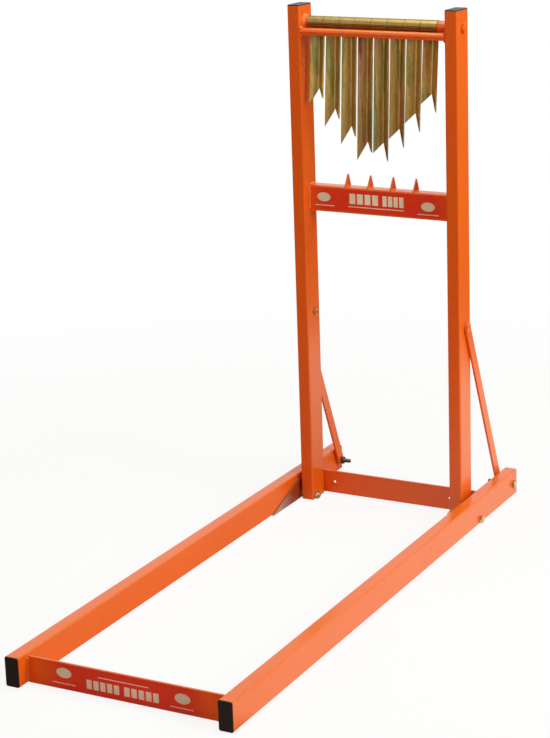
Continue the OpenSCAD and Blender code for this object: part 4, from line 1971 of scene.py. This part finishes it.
@dataclass
class Studio:
    """Floor, surroundings, lamps and the camera at the photograph's viewing angle.

    Attributes:
        eye: where the camera stands.
        yaw: its turn to the left.
        pitch: its turn upwards.
        roll: its turn about its own axis.
        lens: focal length in millimetres, on a sensor 36 mm wide.
        shift: shift of the lens, in widths of the sensor.
        lamps: the lamps.
        ambient: strength of the surroundings' light on the object.
        ambient_tint: colour of that light.
        floor_radius: of the round floor.
        floor_crowding: power that brings its rings closer to the middle.
        floor_level: Z of the floor.
        paper: colour of the floor under the lamps.
        paper_bounce: the same in the light that it throws back at the object.
        mirrored: colour of the floor in reflections.
        far: reflection of the floor by the distance from its middle.
        ahead: the same by Y, so that it is dim in front.
        aside: the same by X, so that it is dim to the left.
        white_share: how much of the floor is plain white to the camera, by distance.
            Each of these four is start, end, low and high of a step.
    """

    eye: Triple = (1.5998, -2.8995, 1.3647)
    yaw: float = math.radians(25.83)
    pitch: float = math.radians(-14.88)
    roll: float = math.radians(-1.09)
    lens: float = 130.97
    shift: Pair = (-0.2000, -0.1048)
    lamps: tuple[Lamp, ...] = (
        Lamp("key_lamp", (3.4, 0.2, 2.2), 2.0, 103.0, (0.88, 1.13, 1.0)),
        Lamp("front_lamp", (-1.6, -3.4, 2.2), 2.0, 5.0, (1.0, 0.62, 0.52)),
        Lamp("top_lamp", (0.0, 0.2, 3.4), 2.4, 60.0, (1.0, 1.36, 0.92)),
    )
    ambient: float = 0.26
    ambient_tint: Colour = (1.0, 0.68, 0.62)
    floor_radius: float = 24.0
    floor_crowding: float = 2.2
    floor_level: float = -0.5 * MM
    paper: Colour = (0.90, 0.78, 0.90)
    paper_bounce: Colour = (0.90, 0.52, 0.54)
    mirrored: Colour = (1.02, 1.20, 0.98)
    far: tuple[float, ...] = (1.15, 1.95, 1.0, 0.06)
    ahead: tuple[float, ...] = (-0.57, -0.48, 0.12, 1.0)
    aside: tuple[float, ...] = (-0.34, 0.28, 0.10, 1.0)
    white_share: tuple[float, ...] = (0.9, 2.0, 0.86, 1.0)

    def camera(self) -> None:
        """Places the camera: its axes follow from yaw, pitch and roll."""
        level = math.cos(self.pitch)
        forward = np.array([-math.sin(self.yaw) * level, math.cos(self.yaw) * level, math.sin(self.pitch)])
        right = np.array([math.cos(self.yaw), math.sin(self.yaw), 0.0])
        up = np.cross(right, forward)
        cos, sin = math.cos(self.roll), math.sin(self.roll)
        data = bpy.data.cameras.new("view_camera")
        data.sensor_fit, data.sensor_width, data.lens = "HORIZONTAL", 36.0, self.lens
        data.shift_x, data.shift_y = self.shift
        data.clip_end = 50
        axes = [right * cos + up * sin, up * cos - right * sin, -forward]
        bpy.context.scene.camera = set_up("view_camera", data, axes, self.eye)

    def world(self) -> None:
        """White surroundings that light the object evenly and softly: white to the
        camera, in reflections and through glass, and dim and warm as a light."""
        world = bpy.data.worlds.new("white_surroundings")
        world.use_nodes = True
        world.node_tree.nodes.clear()
        sheet = Sheet(world.node_tree)
        path = sheet.add("LightPath").outputs
        seen = sheet.math("MAXIMUM", path["Is Camera Ray"], path["Is Glossy Ray"])
        seen = sheet.math("MAXIMUM", seen, path["Is Transmission Ray"])
        strength = sheet.span(seen, low=self.ambient)
        tint = sheet.mix(seen, self.ambient_tint, WHITE)
        back = sheet.add("Background", Color=tint, Strength=strength)
        sheet.add("OutputWorld", Surface=back.outputs[0])
        bpy.context.scene.world = world

    def floor_paper(self) -> bpy.types.Material:
        """Pale paper that keeps the shadow, under a white glow that the camera and
        reflections see.

        Returns:
            The material.
        """
        material = bpy.data.materials.new("studio_floor_paper")
        material.use_nodes = True
        material.node_tree.nodes.clear()
        sheet = Sheet(material.node_tree)
        path = sheet.add("LightPath").outputs
        camera, glossy = path["Is Camera Ray"], path["Is Glossy Ray"]
        thrown = sheet.mix(path["Is Diffuse Ray"], self.paper, self.paper_bounce)
        paper = sheet.add("BsdfDiffuse", Color=thrown)
        away = sheet.add("VectorMath", operation="LENGTH", i0=sheet.place()).outputs["Value"]
        lit = sheet.math(
            "MULTIPLY",
            sheet.span(sheet.axis("Y"), *self.ahead, step=Step.SOFT),
            sheet.span(sheet.axis("X"), *self.aside, step=Step.SOFT),
        )
        lit = sheet.math("MULTIPLY", sheet.span(away, *self.far, step=Step.SOFT), lit)
        strength = sheet.math("MAXIMUM", camera, sheet.math("MULTIPLY", glossy, lit))
        glow = sheet.add("Emission", Color=sheet.mix(glossy, WHITE, self.mirrored), Strength=strength)
        direct = sheet.math("MULTIPLY", camera, sheet.span(away, *self.white_share))
        share = sheet.math("MAXIMUM", direct, sheet.math("MAXIMUM", glossy, path["Is Transmission Ray"]))
        mixed = sheet.add("MixShader", i0=share, i1=paper.outputs[0], i2=glow.outputs[0])
        sheet.add("OutputMaterial", Surface=mixed.outputs[0])
        return material

    def floor(self) -> None:
        """A wide floor just under the rails: a disc whose rings have an even share of
        the radius, raised to a power."""
        radius = np.linspace(0.0, 1.0, 32)[:, None] ** self.floor_crowding * self.floor_radius
        turn = np.linspace(0, 2 * math.pi, 64, endpoint=False)[None]
        level = np.full_like(radius * turn, self.floor_level)
        points = np.stack([radius * np.cos(turn), radius * np.sin(turn), level], -1)
        floor = make_piece("studio_floor", [Patch(points, wrap_columns=True)])
        if floor.data.polygons[0].normal.z < 0:
            floor.data.flip_normals()
        dress(floor, self.floor_paper())
        floor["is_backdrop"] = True

    def build(self) -> None:
        """Sets up everything round the object."""
        self.camera()
        for lamp in self.lamps:
            lamp.build()
        self.world()
        self.floor()
        bpy.context.scene.view_settings.view_transform = "Standard"


def main() -> None:
    """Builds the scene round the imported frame."""
    logging.basicConfig(level=logging.INFO, format="%(message)s")
    model = Model(FRAME["record"]["behaviour"]["bodies"])
    finishes = Finishes()
    FormedSteel().build(model, finishes)
    AxleAndStop().build(finishes)
    ToothRow().build(finishes)
    Fasteners().build(model, finishes)
    WeldBeads().build(finishes)
    for label in LABELS:
        label.build(finishes)
    Studio().build()


if __name__ == "__main__":
    main()
